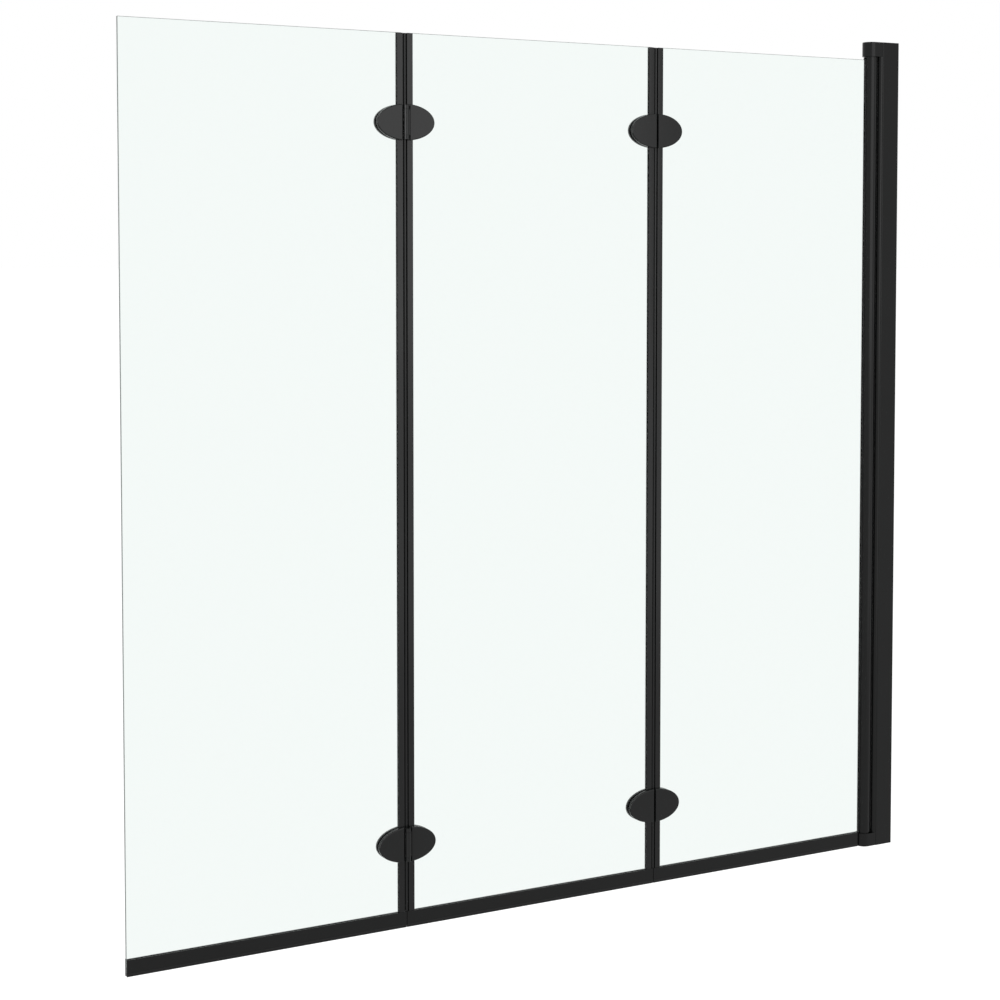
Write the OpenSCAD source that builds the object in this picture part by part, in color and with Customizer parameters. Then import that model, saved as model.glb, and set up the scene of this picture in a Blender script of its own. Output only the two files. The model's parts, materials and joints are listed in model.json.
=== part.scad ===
// Folding bath screen: three toughened glass panels joined by oval clamp hinges,
// hung on a round pivot post beside a wall profile.
//
// Frame, in millimetres: X = 0 is the wall face and the screen runs towards -X,
// Y = 0 is the middle of the glass and -Y is the dry side of the screen,
// Z = 0 is the rim of the bath and +Z is up.

/* [Overall] */
// Wall face to the free edge of the glass
screen_w = 1300; // [1240:5:1400]
// Rim of the bath to the top of the wall profile
screen_h = 1300; // [1200:10:1500]
// Free edge to the outer seam
left_panel_w = 417.5; // [390:0.5:440]
// Outer seam to the inner seam
middle_panel_w = 422; // [400:0.5:440]

/* [Glass] */
// Thickness of the glass
glass_t = 4; // [4:0.5:6]
// Top edge of the glass below the top of the wall profile
glass_drop = 28; // [26:1:60]
// Diameter of the clamp holes through the glass
glass_hole_d = 12; // [10:0.5:14]

/* [Wall channel] */
// Depth of the channel, from the wall to its mouth
channel_d = 33; // [30:1:45]
// Width of the channel across the glass plane
channel_w = 26; // [25:0.5:34]
// Thickness of the channel's sides
channel_wall = 2; // [1.9:0.1:3]
// Thickness of the channel's web against the wall
channel_web = 3; // [2:0.5:4]
// Radius of the channel's outer edges
channel_edge_r = 1.8; // [0.5:0.1:1.8]
// Number of holes for wall screws
wall_hole_count = 4; // [2:1:7]
// Diameter of the holes for wall screws
wall_hole_d = 5.5; // [4:0.5:7]
// Distance of the first and the last of them from the ends of the channel
wall_hole_margin = 125; // [80:5:200]

/* [Adjusting profile] */
// How far the adjusting profile stands out of the channel
profile_reach = 5.5; // [3:0.5:6]
// Radius of its rounded edges beside the post
profile_edge_r = 5; // [2:0.5:5.5]
// Depth of the adjusting profile along X
profile_l = 26.5; // [24:0.5:30]
// Wall thickness of the adjusting profile
profile_wall = 2; // [1.5:0.1:2.5]
// Play between the adjusting profile and the channel, per side
slide_gap = 0.2; // [0.1:0.05:0.5]
// Outside diameter of its screw ports
port_d = 6.8; // [6:0.2:7.4]
// Distance of the screw ports from the mouth of the channel
port_inset = 6; // [5.5:0.5:8]
// How far the screw ports sink into the profile's sides
port_sink = 0.6; // [0.4:0.1:1]

/* [Cap and side screws] */
// Diameter of the screws in the end caps
cap_screw_d = 3.9; // [3:0.1:4.2]
// Diameter of their heads
cap_screw_head_d = 7.4; // [6:0.1:8]
// Height of their heads
cap_screw_head_h = 2.4; // [1.5:0.1:3]
// Length of their shanks in the screw ports
cap_screw_bite = 16; // [10:1:25]
// Number of side screws that lock the adjusting profile
side_screw_count = 3; // [2:1:4]
// Distance of the first and the last of them from the ends of the channel
side_screw_margin = 180; // [150:5:300]
// Side screws, from the wall face
side_screw_inset = 17; // [15:0.5:18]
// Diameter of the side screws
side_screw_d = 4; // [3:0.1:4.5]
// Length of the side screws under the head
side_screw_l = 8; // [6:0.5:9]
// Diameter of their heads
side_head_d = 7.6; // [6.5:0.1:8.5]
// Height of their heads
side_head_h = 2; // [1.5:0.1:3]
// Wall thickness of their push-on covers
side_cover_wall = 1.2; // [0.8:0.1:1.6]

/* [Pivot post] */
// Diameter of the round pivot post
post_d = 22; // [21:0.5:25]
// Wall thickness of the post
post_wall = 1.6; // [1.2:0.1:2]
// Centre of the post beyond the mouth of the channel
post_stand = 15; // [13.5:0.5:17]
// Gap between the post and the hollow face of the adjusting profile
seat_gap = 1; // [0.6:0.1:2]
// Depth of the glazing pocket in the post
pocket_depth = 10.5; // [9:0.5:11]
// Thickness of the glazing gasket beside the glass
gasket_t = 1.2; // [0.8:0.1:1.4]
// Thickness of the gasket's base, behind the glass
gasket_base = 1; // [0.5:0.1:1.5]
// How far the gasket stands out of the post
gasket_lip = 1.2; // [0.5:0.1:2]

/* [End caps and wall pivot] */
// Height of the top end cap
top_cap_h = 23; // [20:0.5:23]
// Height of the bottom end cap
bottom_cap_h = 21; // [19:0.5:21]
// Diameter of the stub pins on which the post turns
pivot_pin_d = 8; // [6:0.5:10]
// Length of the stub pins beyond the plug's disc
pivot_pin_l = 15; // [10:0.5:16]
// Diameter of the plug's disc
plug_disc_d = 21; // [18:0.5:21]
// Thickness of the plug's disc
plug_disc_t = 1; // [0.8:0.1:1.2]
// Length of the plug's spigot inside the post
plug_spigot_l = 14; // [8:1:30]
// Wall thickness of the pivot bushes
bush_wall = 2; // [1:0.25:2.5]
// Diameter of the bushes' flanges
bush_flange_d = 20; // [16:0.5:21]
// Thickness of the bushes' flanges
bush_flange_t = 0.9; // [0.6:0.1:1.2]
// Radial running clearance of every pin that turns
running_gap = 0.05; // [0.02:0.01:0.1]
// Play between the plug's disc and the bush's flange
thrust_gap = 0.1; // [0.05:0.05:0.3]
// Clearance of fixed pieces that fit into one another
fit_gap = 0.1; // [0.05:0.05:0.2]

/* [Bottom rails and wipers] */
// Top of the rails above the rim of the bath
rail_top = 23; // [22:0.5:30]
// Thickness of the rails across the glass plane
rail_t = 8; // [7.5:0.1:9]
// Depth of the glass in the rails
rail_pocket = 11; // [8:0.5:12]
// Play between the glass and the rails, per side
rail_glass_gap = 0.2; // [0.1:0.05:0.4]
// Thickness of the web under the glass
rail_web = 1.5; // [1:0.1:2]
// Thickness of the lips that hold the wiper
rail_lip = 1.5; // [1:0.1:2]
// Width of the opening between these lips
rail_mouth = 2.4; // [2:0.1:2.8]
// Height of the wiper below the rail
wiper_h = 4.5; // [3.5:0.1:6]
// Thickness of the wiper's fins at their tips
wiper_fin_t = 0.8; // [0.5:0.1:1.2]
// Thickness of the plates that close the ends of the rails
rail_cap_t = 1.5; // [1:0.1:2.5]
// Length of the end plates' spigots
rail_cap_spigot = 8; // [5:0.5:15]
// Open split between two rails at a seam
rail_split = 0.8; // [0.4:0.1:2]
// Clearance between the right rail and the bottom cap's round nose
rail_nose_gap = 0.8; // [0.8:0.1:3]

/* [Edge strips at the seams] */
// Seam to the faces of the edge strips
strip_stand = 3.2; // [3:0.1:4]
// Width of the plain strips, on the side of the free edge
plain_strip_w = 9.2; // [8:0.1:12]
// Width of the bulb strips, on the side of the wall
bulb_strip_w = 9.2; // [8:0.1:12]
// Thickness of the strips beside the glass
strip_wall = 1.4; // [1:0.1:1.6]
// Thickness of the strips over the edge of the glass
strip_base = 1.2; // [0.8:0.1:2]
// Diameter of the hollow bulb
bulb_d = 5.6; // [4.4:0.1:5.8]
// How far the bulb sinks into the face of its strip
bulb_sink = 0.3; // [0.2:0.1:0.6]
// Wall thickness of the bulb
bulb_wall = 0.8; // [0.5:0.1:1]
// Top of the strips below the top of the glass
strip_drop = 0.5; // [0:0.5:5]

/* [Folding hinges] */
// Length of the oval hinges
hinge_l = 90; // [80:0.2:100]
// Height of the oval hinges
hinge_h = 51.2; // [46:0.2:60]
// Centre of the upper hinges below the top of the glass
upper_hinge_drop = 125; // [80:0.5:250]
// Centre of the lower hinges above the rim of the bath
lower_hinge_rise = 121; // [80:0.5:250]
// Thickness of the clamp plates
plate_t = 5; // [4.6:0.1:6]
// Chamfer around the plates' faces
plate_chamfer = 1.4; // [0.3:0.1:1.6]
// Thickness of the pads between plates and glass
pad_t = 0.8; // [0.5:0.1:1]
// Inset of the pads from the outline of the plates
pad_inset = 1; // [0.5:0.1:2]
// Gap between the plates' faces when a joint is folded flat
fold_gap = 0.4; // [0.3:0.1:1.5]
// Seam to the plates beside the barrel
barrel_cut = 6.4; // [5.5:0.1:8]
// Seam to the plates on the other side of the glass
seam_cut = 1.8; // [1.2:0.1:3]
// Diameter of the hinge barrel
barrel_d = 8; // [6:0.1:8.2]
// Length of the hinge barrel
barrel_l = 48; // [44:1:49]
// Length of the long knuckle between the short pair
mid_knuckle_l = 36; // [24:0.5:40]
// Play between knuckles
knuckle_gap = 0.3; // [0.1:0.05:0.6]
// Diameter of the hinge pins
hinge_pin_d = 3.5; // [2.5:0.1:4]
// How far the long knuckle's arm lies below the plate's face
arm_drop = 0.8; // [0.4:0.1:1.6]
// How far the leaves beside the barrel lie below the plates' faces
leaf_drop = 2.2; // [1.5:0.1:2.6]
// Gap between a leaf and the other side's knuckles
leaf_gap = 0.4; // [0.3:0.1:0.8]
// Seam to the clamp screws
clamp_u = 27; // [23:0.5:32]
// Diameter of the clamp screws
clamp_screw_d = 5; // [4:0.1:6]
// Diameter of their countersunk heads
clamp_head_d = 9.2; // [8:0.1:10]
// Height of their countersunk heads
clamp_head_h = 2.6; // [2:0.1:3]
// Depth of their blind holes in the front plates
clamp_bite = 4; // [3:0.1:4]
// Width across the flats of their hexagon sockets
clamp_socket = 3; // [2:0.5:4]

/* [Hidden] */
$fn = 64;
oval_steps = 96;
cut = 1; // how far a cutting shape overruns the solid that it cuts

LEFT = -1;
RIGHT = 1;
FRONT = -1;
BACK = 1;

ALUMINIUM = "#242627";
HINGE_BLACK = "#2b2d2e";
PLASTIC = "#1e1f20";
RUBBER = "#17181a";
CLEAR_GLASS = [0.86, 0.94, 0.91, 0.35];
STEEL = "#a9adb0";
BUSH_BLACK = "#202122";

// Places along X
outer_seam_x = -(screen_w - left_panel_w);
inner_seam_x = outer_seam_x + middle_panel_w;
post_r = post_d / 2;
seat_r = post_r + seat_gap;
post_x = -(channel_d + post_stand);
nose_r = channel_w / 2;
rail_right_x = post_x - nose_r - rail_nose_gap;

// Heights
glass_top = screen_h - glass_drop;
glass_bottom = rail_top - rail_pocket;
profile_top = screen_h - top_cap_h;
pivot_gap = plug_disc_t + bush_flange_t + thrust_gap;
post_bottom = bottom_cap_h + pivot_gap;
post_top = profile_top - pivot_gap;
upper_hinge_z = glass_top - upper_hinge_drop;
lower_hinge_z = lower_hinge_rise;
hinge_zs = [lower_hinge_z, upper_hinge_z];
notch_z = max(rail_top, post_bottom) + rail_nose_gap;

// Wall profile
channel_inner = channel_w - 2 * channel_wall;
profile_w = channel_inner - 2 * slide_gap;
profile_tip_x = -(channel_d + profile_reach);
port_x = -(channel_d - port_inset);
port_y = profile_w / 2 - profile_wall - port_d / 2 + port_sink;
side_screw_x = -side_screw_inset;

// Pivot
pocket_w = glass_t + 2 * gasket_t;
pocket_floor = -post_r + pocket_depth;
glass_right_x = post_x + pocket_floor - gasket_base;
pivot_pin_r = pivot_pin_d / 2;
bush_r = pivot_pin_r + running_gap + bush_wall;
bush_l = pivot_pin_l + plug_disc_t / 2;

// Rails
rail_bottom = wiper_h;
rail_slot_w = glass_t + 2 * rail_glass_gap;
rail_slot_top = glass_bottom - rail_web;
rail_slot_bottom = rail_bottom + rail_lip;

// Strips and hinges
strip_t = glass_t + 2 * fit_gap + 2 * strip_wall;
glass_stand = strip_stand + strip_base;
plate_y = glass_t / 2 + pad_t;
pivot_y = plate_y + plate_t + fold_gap / 2;
barrel_w = pivot_y - plate_y;
relief_u = strip_stand + max(plain_strip_w, bulb_strip_w) + fold_gap;
relief_w = strip_t / 2 + fold_gap - plate_y;
end_knuckle_l = (barrel_l - mid_knuckle_l) / 2 - knuckle_gap;

// Evenly spaced heights along the channel, with a margin at either end
function spread(count, margin) =
    [for (i = [0 : count - 1]) margin + i * (screen_h - 2 * margin) / (count - 1)];
wall_hole_zs = spread(wall_hole_count, wall_hole_margin);
side_screw_zs = spread(side_screw_count, side_screw_margin);

// ---- Wall profile ----

// Rectangle whose corners are true arcs
module rounded_box_2d(low, high, r) {
    size = high - low;
    translate(low + [r, 0]) square([size.x - 2 * r, size.y]);
    translate(low + [0, r]) square([size.x, size.y - 2 * r]);
    for (x = [low.x + r, high.x - r], y = [low.y + r, high.y - r])
        translate([x, y]) circle(r);
}

// U-shaped extrusion that is screwed to the wall through its web
module wall_channel() color(ALUMINIUM) difference() {
    linear_extrude(screen_h) difference() {
        rounded_box_2d([-channel_d, -channel_w / 2], [0, channel_w / 2], channel_edge_r);
        translate([-channel_d - cut, -channel_inner / 2])
            square([channel_d - channel_web + cut, channel_inner]);
    }
    for (z = wall_hole_zs)
        translate([-channel_web - cut, 0, z]) rotate([0, 90, 0])
            cylinder(d = wall_hole_d, h = channel_web + 2 * cut);
    for (z = side_screw_zs)
        translate([side_screw_x, 0, z]) rotate([-90, 0, 0])
            cylinder(d = side_screw_d + 2 * fit_gap, h = channel_w);
}

// Head that covers the mouth of the channel, rounded beside the post
module profile_head_2d() intersection() {
    rounded_box_2d([profile_tip_x, -channel_w / 2], [0, channel_w / 2], profile_edge_r);
    translate([profile_tip_x, -channel_w / 2]) square([profile_reach - fit_gap, channel_w]);
}

// Profile that slides in the channel; its hollow face follows the round post
module adjusting_profile() color(ALUMINIUM) difference() {
    translate([0, 0, bottom_cap_h]) linear_extrude(profile_top - bottom_cap_h) {
        difference() {
            union() {
                profile_head_2d();
                translate([profile_tip_x + profile_reach / 2, -profile_w / 2])
                    square([profile_l - profile_reach / 2, profile_w]);
            }
            translate([post_x, 0]) circle(seat_r);
            difference() {
                translate([profile_tip_x - cut, -profile_w / 2 + profile_wall])
                    square([profile_l + 2 * cut, profile_w - 2 * profile_wall]);
                translate([post_x, 0]) circle(seat_r + profile_wall);
            }
        }
        for (s = [-1, 1]) translate([port_x, s * port_y]) difference() {
            circle(d = port_d);
            circle(d = cap_screw_d + fit_gap);
        }
    }
    for (z = side_screw_zs)
        translate([side_screw_x, 0, z]) rotate([-90, 0, 0])
            cylinder(d = side_screw_d + fit_gap, h = channel_w);
}

// End cap with a round nose over the post, drawn with its inner face at Z = 0
module end_cap(h) difference() {
    linear_extrude(h) {
        translate([post_x, 0]) circle(nose_r);
        translate([post_x, -nose_r]) square([-channel_d - fit_gap - post_x, channel_w]);
        translate([post_x, -channel_inner / 2 + fit_gap])
            square([-channel_web - fit_gap - post_x, channel_inner - 2 * fit_gap]);
    }
    translate([post_x, 0, -cut]) cylinder(r = bush_r + fit_gap, h = bush_l + fit_gap + cut);
    for (s = [-1, 1]) translate([port_x, s * port_y, 0]) {
        translate([0, 0, -cut]) cylinder(d = cap_screw_d + 2 * fit_gap, h = h + 2 * cut);
        translate([0, 0, h - 2 * cap_screw_head_h])
            cylinder(d = cap_screw_head_d + 2 * fit_gap, h = 2 * cap_screw_head_h + cut);
    }
}

// Flanged bush in the cap, drawn with the cap's inner face at Z = 0
module pivot_bush() difference() {
    union() {
        cylinder(r = bush_r, h = bush_l);
        translate([0, 0, -bush_flange_t]) cylinder(d = bush_flange_d, h = bush_flange_t);
    }
    translate([0, 0, -bush_flange_t - cut])
        cylinder(r = pivot_pin_r + running_gap, h = bush_l + bush_flange_t + 2 * cut);
}

// Screw from the cap's outer face into a port, drawn in the cap's own frame
module cap_screw(h) {
    head_z = h - 2 * cap_screw_head_h;
    difference() {
        translate([0, 0, head_z]) cylinder(d = cap_screw_head_d, h = cap_screw_head_h);
        translate([0, 0, head_z + cap_screw_head_h / 3])
            cylinder(d = cap_screw_d, h = cap_screw_head_h, $fn = 6);
    }
    translate([0, 0, -cap_screw_bite]) cylinder(d = cap_screw_d, h = head_z + cap_screw_bite);
}

// Place what is drawn in the frame of the top or the bottom cap
module at_top_cap() translate([0, 0, profile_top]) children();
module at_bottom_cap() translate([0, 0, bottom_cap_h]) mirror([0, 0, 1]) children();

module top_cap() color(PLASTIC) at_top_cap() end_cap(top_cap_h);
module bottom_cap() color(PLASTIC) at_bottom_cap() end_cap(bottom_cap_h);
module top_bush() color(BUSH_BLACK) at_top_cap() translate([post_x, 0, 0]) pivot_bush();
module bottom_bush() color(BUSH_BLACK) at_bottom_cap() translate([post_x, 0, 0]) pivot_bush();

module cap_screws() color(STEEL) for (s = [-1, 1]) {
    at_top_cap() translate([port_x, s * port_y, 0]) cap_screw(top_cap_h);
    at_bottom_cap() translate([port_x, s * port_y, 0]) cap_screw(bottom_cap_h);
}

// Pan-head screws through the wet side of the channel into the adjusting profile
module side_screws() color(STEEL)
    for (z = side_screw_zs) translate([side_screw_x, channel_w / 2, z]) rotate([-90, 0, 0]) {
        translate([0, 0, -side_screw_l]) cylinder(d = side_screw_d, h = side_screw_l);
        cylinder(d = side_head_d, h = side_head_h);
    }

// Push-on covers over the heads of the side screws
module side_screw_covers() color(PLASTIC)
    for (z = side_screw_zs) translate([side_screw_x, channel_w / 2, z]) rotate([-90, 0, 0])
        difference() {
            union() {
                cylinder(d = side_head_d + 2 * side_cover_wall, h = side_head_h);
                translate([0, 0, side_head_h])
                    cylinder(d1 = side_head_d + 2 * side_cover_wall, d2 = side_head_d,
                             h = side_cover_wall);
            }
            translate([0, 0, -cut]) cylinder(d = side_head_d + fit_gap, h = side_head_h + cut);
        }

// ---- Pivot post ----

// Solid bar that holds the glazing pocket inside the round post
module pocket_block_2d(wall)
    translate([-post_r - cut, -pocket_w / 2 - wall])
        square([post_r + pocket_floor + wall + cut, pocket_w + 2 * wall]);

// Room that is left in the post beside and behind the pocket
module post_hollow_2d(play) difference() {
    circle(post_r - post_wall - play);
    pocket_block_2d(post_wall + play);
}

module pivot_post() color(ALUMINIUM)
    translate([post_x, 0, post_bottom]) linear_extrude(post_top - post_bottom) difference() {
        circle(post_r);
        pocket_block_2d(0);
        post_hollow_2d(0);
    }

// Rubber channel around the edge of the glass, in the pocket
module post_gasket() color(RUBBER) {
    low = notch_z;
    lip_x = post_x - post_r - gasket_lip;
    translate([0, 0, low]) linear_extrude(glass_top - low) difference() {
        translate([lip_x, -pocket_w / 2])
            square([post_x + pocket_floor - lip_x, pocket_w]);
        translate([lip_x - cut, -glass_t / 2]) square([glass_right_x - lip_x + cut, glass_t]);
    }
}

// Plug in the end of the post, with its stub pin; the post's end is at Z = 0
module post_plug() {
    cylinder(d = plug_disc_d, h = plug_disc_t);
    translate([0, 0, plug_disc_t]) cylinder(r = pivot_pin_r, h = pivot_pin_l);
    translate([0, 0, -plug_spigot_l]) linear_extrude(plug_spigot_l) intersection() {
        post_hollow_2d(fit_gap);
        translate([pocket_floor, -post_r]) square([post_d, post_d]);
    }
}

module post_top_plug() color(HINGE_BLACK) translate([post_x, 0, post_top]) post_plug();
module post_bottom_plug() color(HINGE_BLACK)
    translate([post_x, 0, post_bottom]) mirror([0, 0, 1]) post_plug();

// ---- Glass ----

module glass_panel(x0, x1, hole_xs, notch_x = 0) color(CLEAR_GLASS) difference() {
    translate([x0, -glass_t / 2, glass_bottom])
        cube([x1 - x0, glass_t, glass_top - glass_bottom]);
    for (x = hole_xs, z = hinge_zs)
        translate([x, 0, z]) rotate([90, 0, 0])
            cylinder(d = glass_hole_d, h = glass_t + 2 * cut, center = true);
    if (notch_x != 0)
        translate([notch_x, -glass_t / 2 - cut, glass_bottom - cut])
            cube([x1 - notch_x + cut, glass_t + 2 * cut, notch_z - glass_bottom + cut]);
}

module left_glass()
    glass_panel(-screen_w, outer_seam_x - glass_stand, [outer_seam_x - clamp_u]);
module middle_glass()
    glass_panel(outer_seam_x + glass_stand, inner_seam_x - glass_stand,
                [outer_seam_x + clamp_u, inner_seam_x - clamp_u]);
// The lower corner beside the post is cut away over the nose of the bottom cap
module right_glass()
    glass_panel(inner_seam_x + glass_stand, glass_right_x, [inner_seam_x + clamp_u],
                rail_right_x - rail_cap_t - fit_gap);

// ---- Bottom rails ----

// Turn a section drawn in Y and Z into a bar from x0 to x1
module bar(x0, x1) translate([x0, 0, 0]) rotate([90, 0, 90]) linear_extrude(x1 - x0) children();

module band_2d(w, z0, z1) translate([-w / 2, z0]) square([w, z1 - z0]);

module rail_section() difference() {
    band_2d(rail_t, rail_bottom, rail_top);
    band_2d(rail_slot_w, glass_bottom, rail_top + cut);
    band_2d(rail_slot_w, rail_slot_bottom, rail_slot_top);
    band_2d(rail_mouth, rail_bottom - cut, rail_slot_bottom + cut);
}

// Soft profile: head in the rail, neck between its lips, foot with two fins
module wiper_foot_section() {
    half = rail_t / 2 - fit_gap;
    shoulder = 0.7 * wiper_h;
    for (s = [-1, 1]) scale([s, 1]) polygon([
        [0, rail_bottom], [half, rail_bottom], [half, shoulder], [half - wiper_fin_t, 0],
        [half - 2 * wiper_fin_t, 0], [half / 3, 0.6 * wiper_h], [0, 0.6 * wiper_h]
    ]);
}

module wiper_head_section() {
    band_2d(rail_slot_w - 2 * fit_gap, rail_slot_bottom + fit_gap, rail_slot_top - 2 * fit_gap);
    band_2d(rail_mouth - 2 * fit_gap, rail_bottom - fit_gap, rail_slot_bottom + cut);
}

// The head stops short of each closed end, where the end plate's spigot sits
module wiper(x0, x1, left_inset, right_inset) color(RUBBER) {
    bar(x0, x1) wiper_foot_section();
    bar(x0 + left_inset, x1 - right_inset) wiper_head_section();
}

// End plate drawn with its outer face at X = 0 and the rail towards +X
module rail_end_cap(glass_slot) color(PLASTIC) {
    bar(0, rail_cap_t) difference() {
        band_2d(rail_t, rail_bottom, rail_top);
        if (glass_slot) band_2d(rail_slot_w, glass_bottom, rail_top + cut);
    }
    bar(rail_cap_t, rail_cap_t + rail_cap_spigot)
        band_2d(rail_slot_w - 2 * fit_gap, rail_slot_bottom + fit_gap, rail_slot_top - fit_gap);
}

half_split = rail_split / 2;
spigot_room = rail_cap_t + rail_cap_spigot + fit_gap;

module left_rail() color(ALUMINIUM)
    bar(-screen_w + rail_cap_t, outer_seam_x - half_split) rail_section();
module middle_rail() color(ALUMINIUM)
    bar(outer_seam_x + half_split, inner_seam_x - half_split) rail_section();
module right_rail() color(ALUMINIUM)
    bar(inner_seam_x + half_split, rail_right_x - rail_cap_t) rail_section();
module left_rail_end_cap() translate([-screen_w, 0, 0]) rail_end_cap(true);
module right_rail_end_cap()
    translate([rail_right_x, 0, 0]) mirror([1, 0, 0]) rail_end_cap(false);
module left_wiper() wiper(-screen_w, outer_seam_x - half_split, spigot_room, 0);
module middle_wiper() wiper(outer_seam_x + half_split, inner_seam_x - half_split, 0, 0);
module right_wiper() wiper(inner_seam_x + half_split, rail_right_x, 0, spigot_room);

// ---- Edge strips at the seams ----

// U over the edge of the glass, with the seam at X = 0 and the glass towards +X
module strip_section(w) difference() {
    translate([strip_stand, -strip_t / 2]) square([w, strip_t]);
    translate([glass_stand, -glass_t / 2 - fit_gap]) square([w, glass_t + 2 * fit_gap]);
}

// Hollow bulb that grows out of the strip's face and nearly closes the seam
module bulb_section() translate([strip_stand + bulb_sink - bulb_d / 2, 0]) difference() {
    circle(d = bulb_d);
    circle(d = bulb_d - 2 * bulb_wall);
}

module at_seam_strip(seam_x, side) color(RUBBER)
    translate([seam_x, 0, rail_top + fit_gap]) mirror([side == LEFT ? 1 : 0, 0, 0])
        linear_extrude(glass_top - strip_drop - rail_top - fit_gap) children();

module left_plain_strip() at_seam_strip(outer_seam_x, LEFT) strip_section(plain_strip_w);
module middle_plain_strip() at_seam_strip(inner_seam_x, LEFT) strip_section(plain_strip_w);
module middle_bulb_strip() at_seam_strip(outer_seam_x, RIGHT) {
    strip_section(bulb_strip_w);
    bulb_section();
}
module right_bulb_strip() at_seam_strip(inner_seam_x, RIGHT) {
    strip_section(bulb_strip_w);
    bulb_section();
}

// ---- Folding hinges ----
// A half hinge is drawn with X away from the seam, Y up and Z away from the glass,
// with Z = 0 at the underside of the plate.

module at_hinge(seam_x, z, side, face)
    translate([seam_x, 0, z])
        mirror([side == LEFT ? 1 : 0, 0, 0]) mirror([0, face == BACK ? 1 : 0, 0])
            rotate([90, 0, 0]) translate([0, 0, plate_y]) children();

// Half of the hinge's oval outline, beyond a cut beside the seam
module half_oval_2d(u, inset = 0) intersection() {
    polygon([for (i = [0 : oval_steps - 1]) let (a = 360 * i / oval_steps)
        [(hinge_l / 2 - inset) * cos(a), (hinge_h / 2 - inset) * sin(a)]]);
    translate([u, -hinge_h]) square([hinge_l, 2 * hinge_h]);
}

module plate_body(u) {
    linear_extrude(plate_t - plate_chamfer) half_oval_2d(u);
    translate([0, 0, plate_t - plate_chamfer])
        linear_extrude(plate_chamfer, slices = 1,
                       scale = [1 - 2 * plate_chamfer / hinge_l, 1 - 2 * plate_chamfer / hinge_h])
            half_oval_2d(u);
}

// Leaf in the groove between the barrel and the plate's face, from u on
module leaf(u) intersection() {
    linear_extrude(plate_t - leaf_drop) half_oval_2d(u);
    translate([0, -hinge_h, 0]) cube([barrel_cut + cut, 2 * hinge_h, plate_t]);
}

// Knuckle on the hinge axis with its arm to the plate, from y0 to y1
module knuckle(y0, y1, drop) {
    translate([0, y1, barrel_w]) rotate([90, 0, 0]) cylinder(d = barrel_d, h = y1 - y0);
    translate([0, y0, 0]) cube([barrel_cut + cut, y1 - y0, plate_t - drop]);
}

// The pair of short knuckles at the ends, or the long one between them
module knuckles(pair) {
    if (pair) {
        knuckle(-barrel_l / 2, -barrel_l / 2 + end_knuckle_l, leaf_drop);
        knuckle(barrel_l / 2 - end_knuckle_l, barrel_l / 2, leaf_drop);
    } else {
        knuckle(-mid_knuckle_l / 2, mid_knuckle_l / 2, arm_drop);
    }
}

// Clamp plate: the front ones take the screw's thread, the back ones its head.
// The plates beside the barrel carry knuckles, and the panel farther from the wall has the pair.
module hinge_plate(seam_x, z, side, face, barrel_face) color(HINGE_BLACK)
    at_hinge(seam_x, z, side, face) difference() {
        union() {
            plate_body(face == barrel_face ? barrel_cut : seam_cut);
            if (face == barrel_face) {
                leaf(barrel_d / 2 + leaf_gap);
                knuckles(side == LEFT);
            }
        }
        translate([-cut, -hinge_h, -cut]) cube([relief_u + cut, 2 * hinge_h, relief_w + cut]);
        if (face == barrel_face)
            translate([0, hinge_h / 2, barrel_w]) rotate([90, 0, 0])
                cylinder(d = hinge_pin_d + 2 * running_gap, h = hinge_h);
        if (face == FRONT) {
            translate([clamp_u, 0, -cut])
                cylinder(d = clamp_screw_d + fit_gap, h = clamp_bite + cut);
        } else {
            translate([clamp_u, 0, -cut])
                cylinder(d = clamp_screw_d + 2 * fit_gap, h = plate_t + 2 * cut);
            translate([clamp_u, 0, plate_t - clamp_head_h])
                cylinder(d1 = clamp_screw_d + 2 * fit_gap, d2 = clamp_head_d + 2 * fit_gap,
                         h = clamp_head_h);
        }
    }

// Pin through the knuckles of one hinge
module hinge_pin(seam_x, z, face) color(HINGE_BLACK)
    at_hinge(seam_x, z, RIGHT, face)
        translate([0, barrel_l / 2, barrel_w]) rotate([90, 0, 0])
            cylinder(d = hinge_pin_d, h = barrel_l);

// Pads on both faces of the glass; the front one has the collar that lines the hole
module hinge_pads(seam_x, side) color(RUBBER) for (z = hinge_zs, face = [FRONT, BACK])
    at_hinge(seam_x, z, side, face) difference() {
        union() {
            translate([0, 0, -pad_t]) linear_extrude(pad_t) half_oval_2d(relief_u, pad_inset);
            if (face == FRONT)
                translate([clamp_u, 0, fit_gap - pad_t - glass_t])
                    cylinder(d = glass_hole_d - 2 * fit_gap, h = glass_t + pad_t / 2 - fit_gap);
        }
        translate([clamp_u, 0, -pad_t - glass_t - cut])
            cylinder(d = clamp_screw_d + 4 * fit_gap, h = pad_t + glass_t + 2 * cut);
    }

// Countersunk screws from the back plates through the glass into the front plates
module clamp_screws(seam_x, side) color(STEEL) for (z = hinge_zs)
    at_hinge(seam_x, z, side, BACK) translate([clamp_u, 0, 0]) {
        tip = -2 * plate_y - clamp_bite + 2 * fit_gap;
        translate([0, 0, tip])
            cylinder(d = clamp_screw_d, h = plate_t - clamp_head_h - tip);
        translate([0, 0, plate_t - clamp_head_h]) difference() {
            cylinder(d1 = clamp_screw_d, d2 = clamp_head_d, h = clamp_head_h);
            translate([0, 0, clamp_head_h / 3])
                cylinder(d = clamp_socket / cos(30), h = clamp_head_h, $fn = 6);
        }
    }

// The inner joint folds about the back of the glass, the outer joint about the front
module inner_plate(z, side, face) hinge_plate(inner_seam_x, z, side, face, BACK);
module outer_plate(z, side, face) hinge_plate(outer_seam_x, z, side, face, FRONT);

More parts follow.
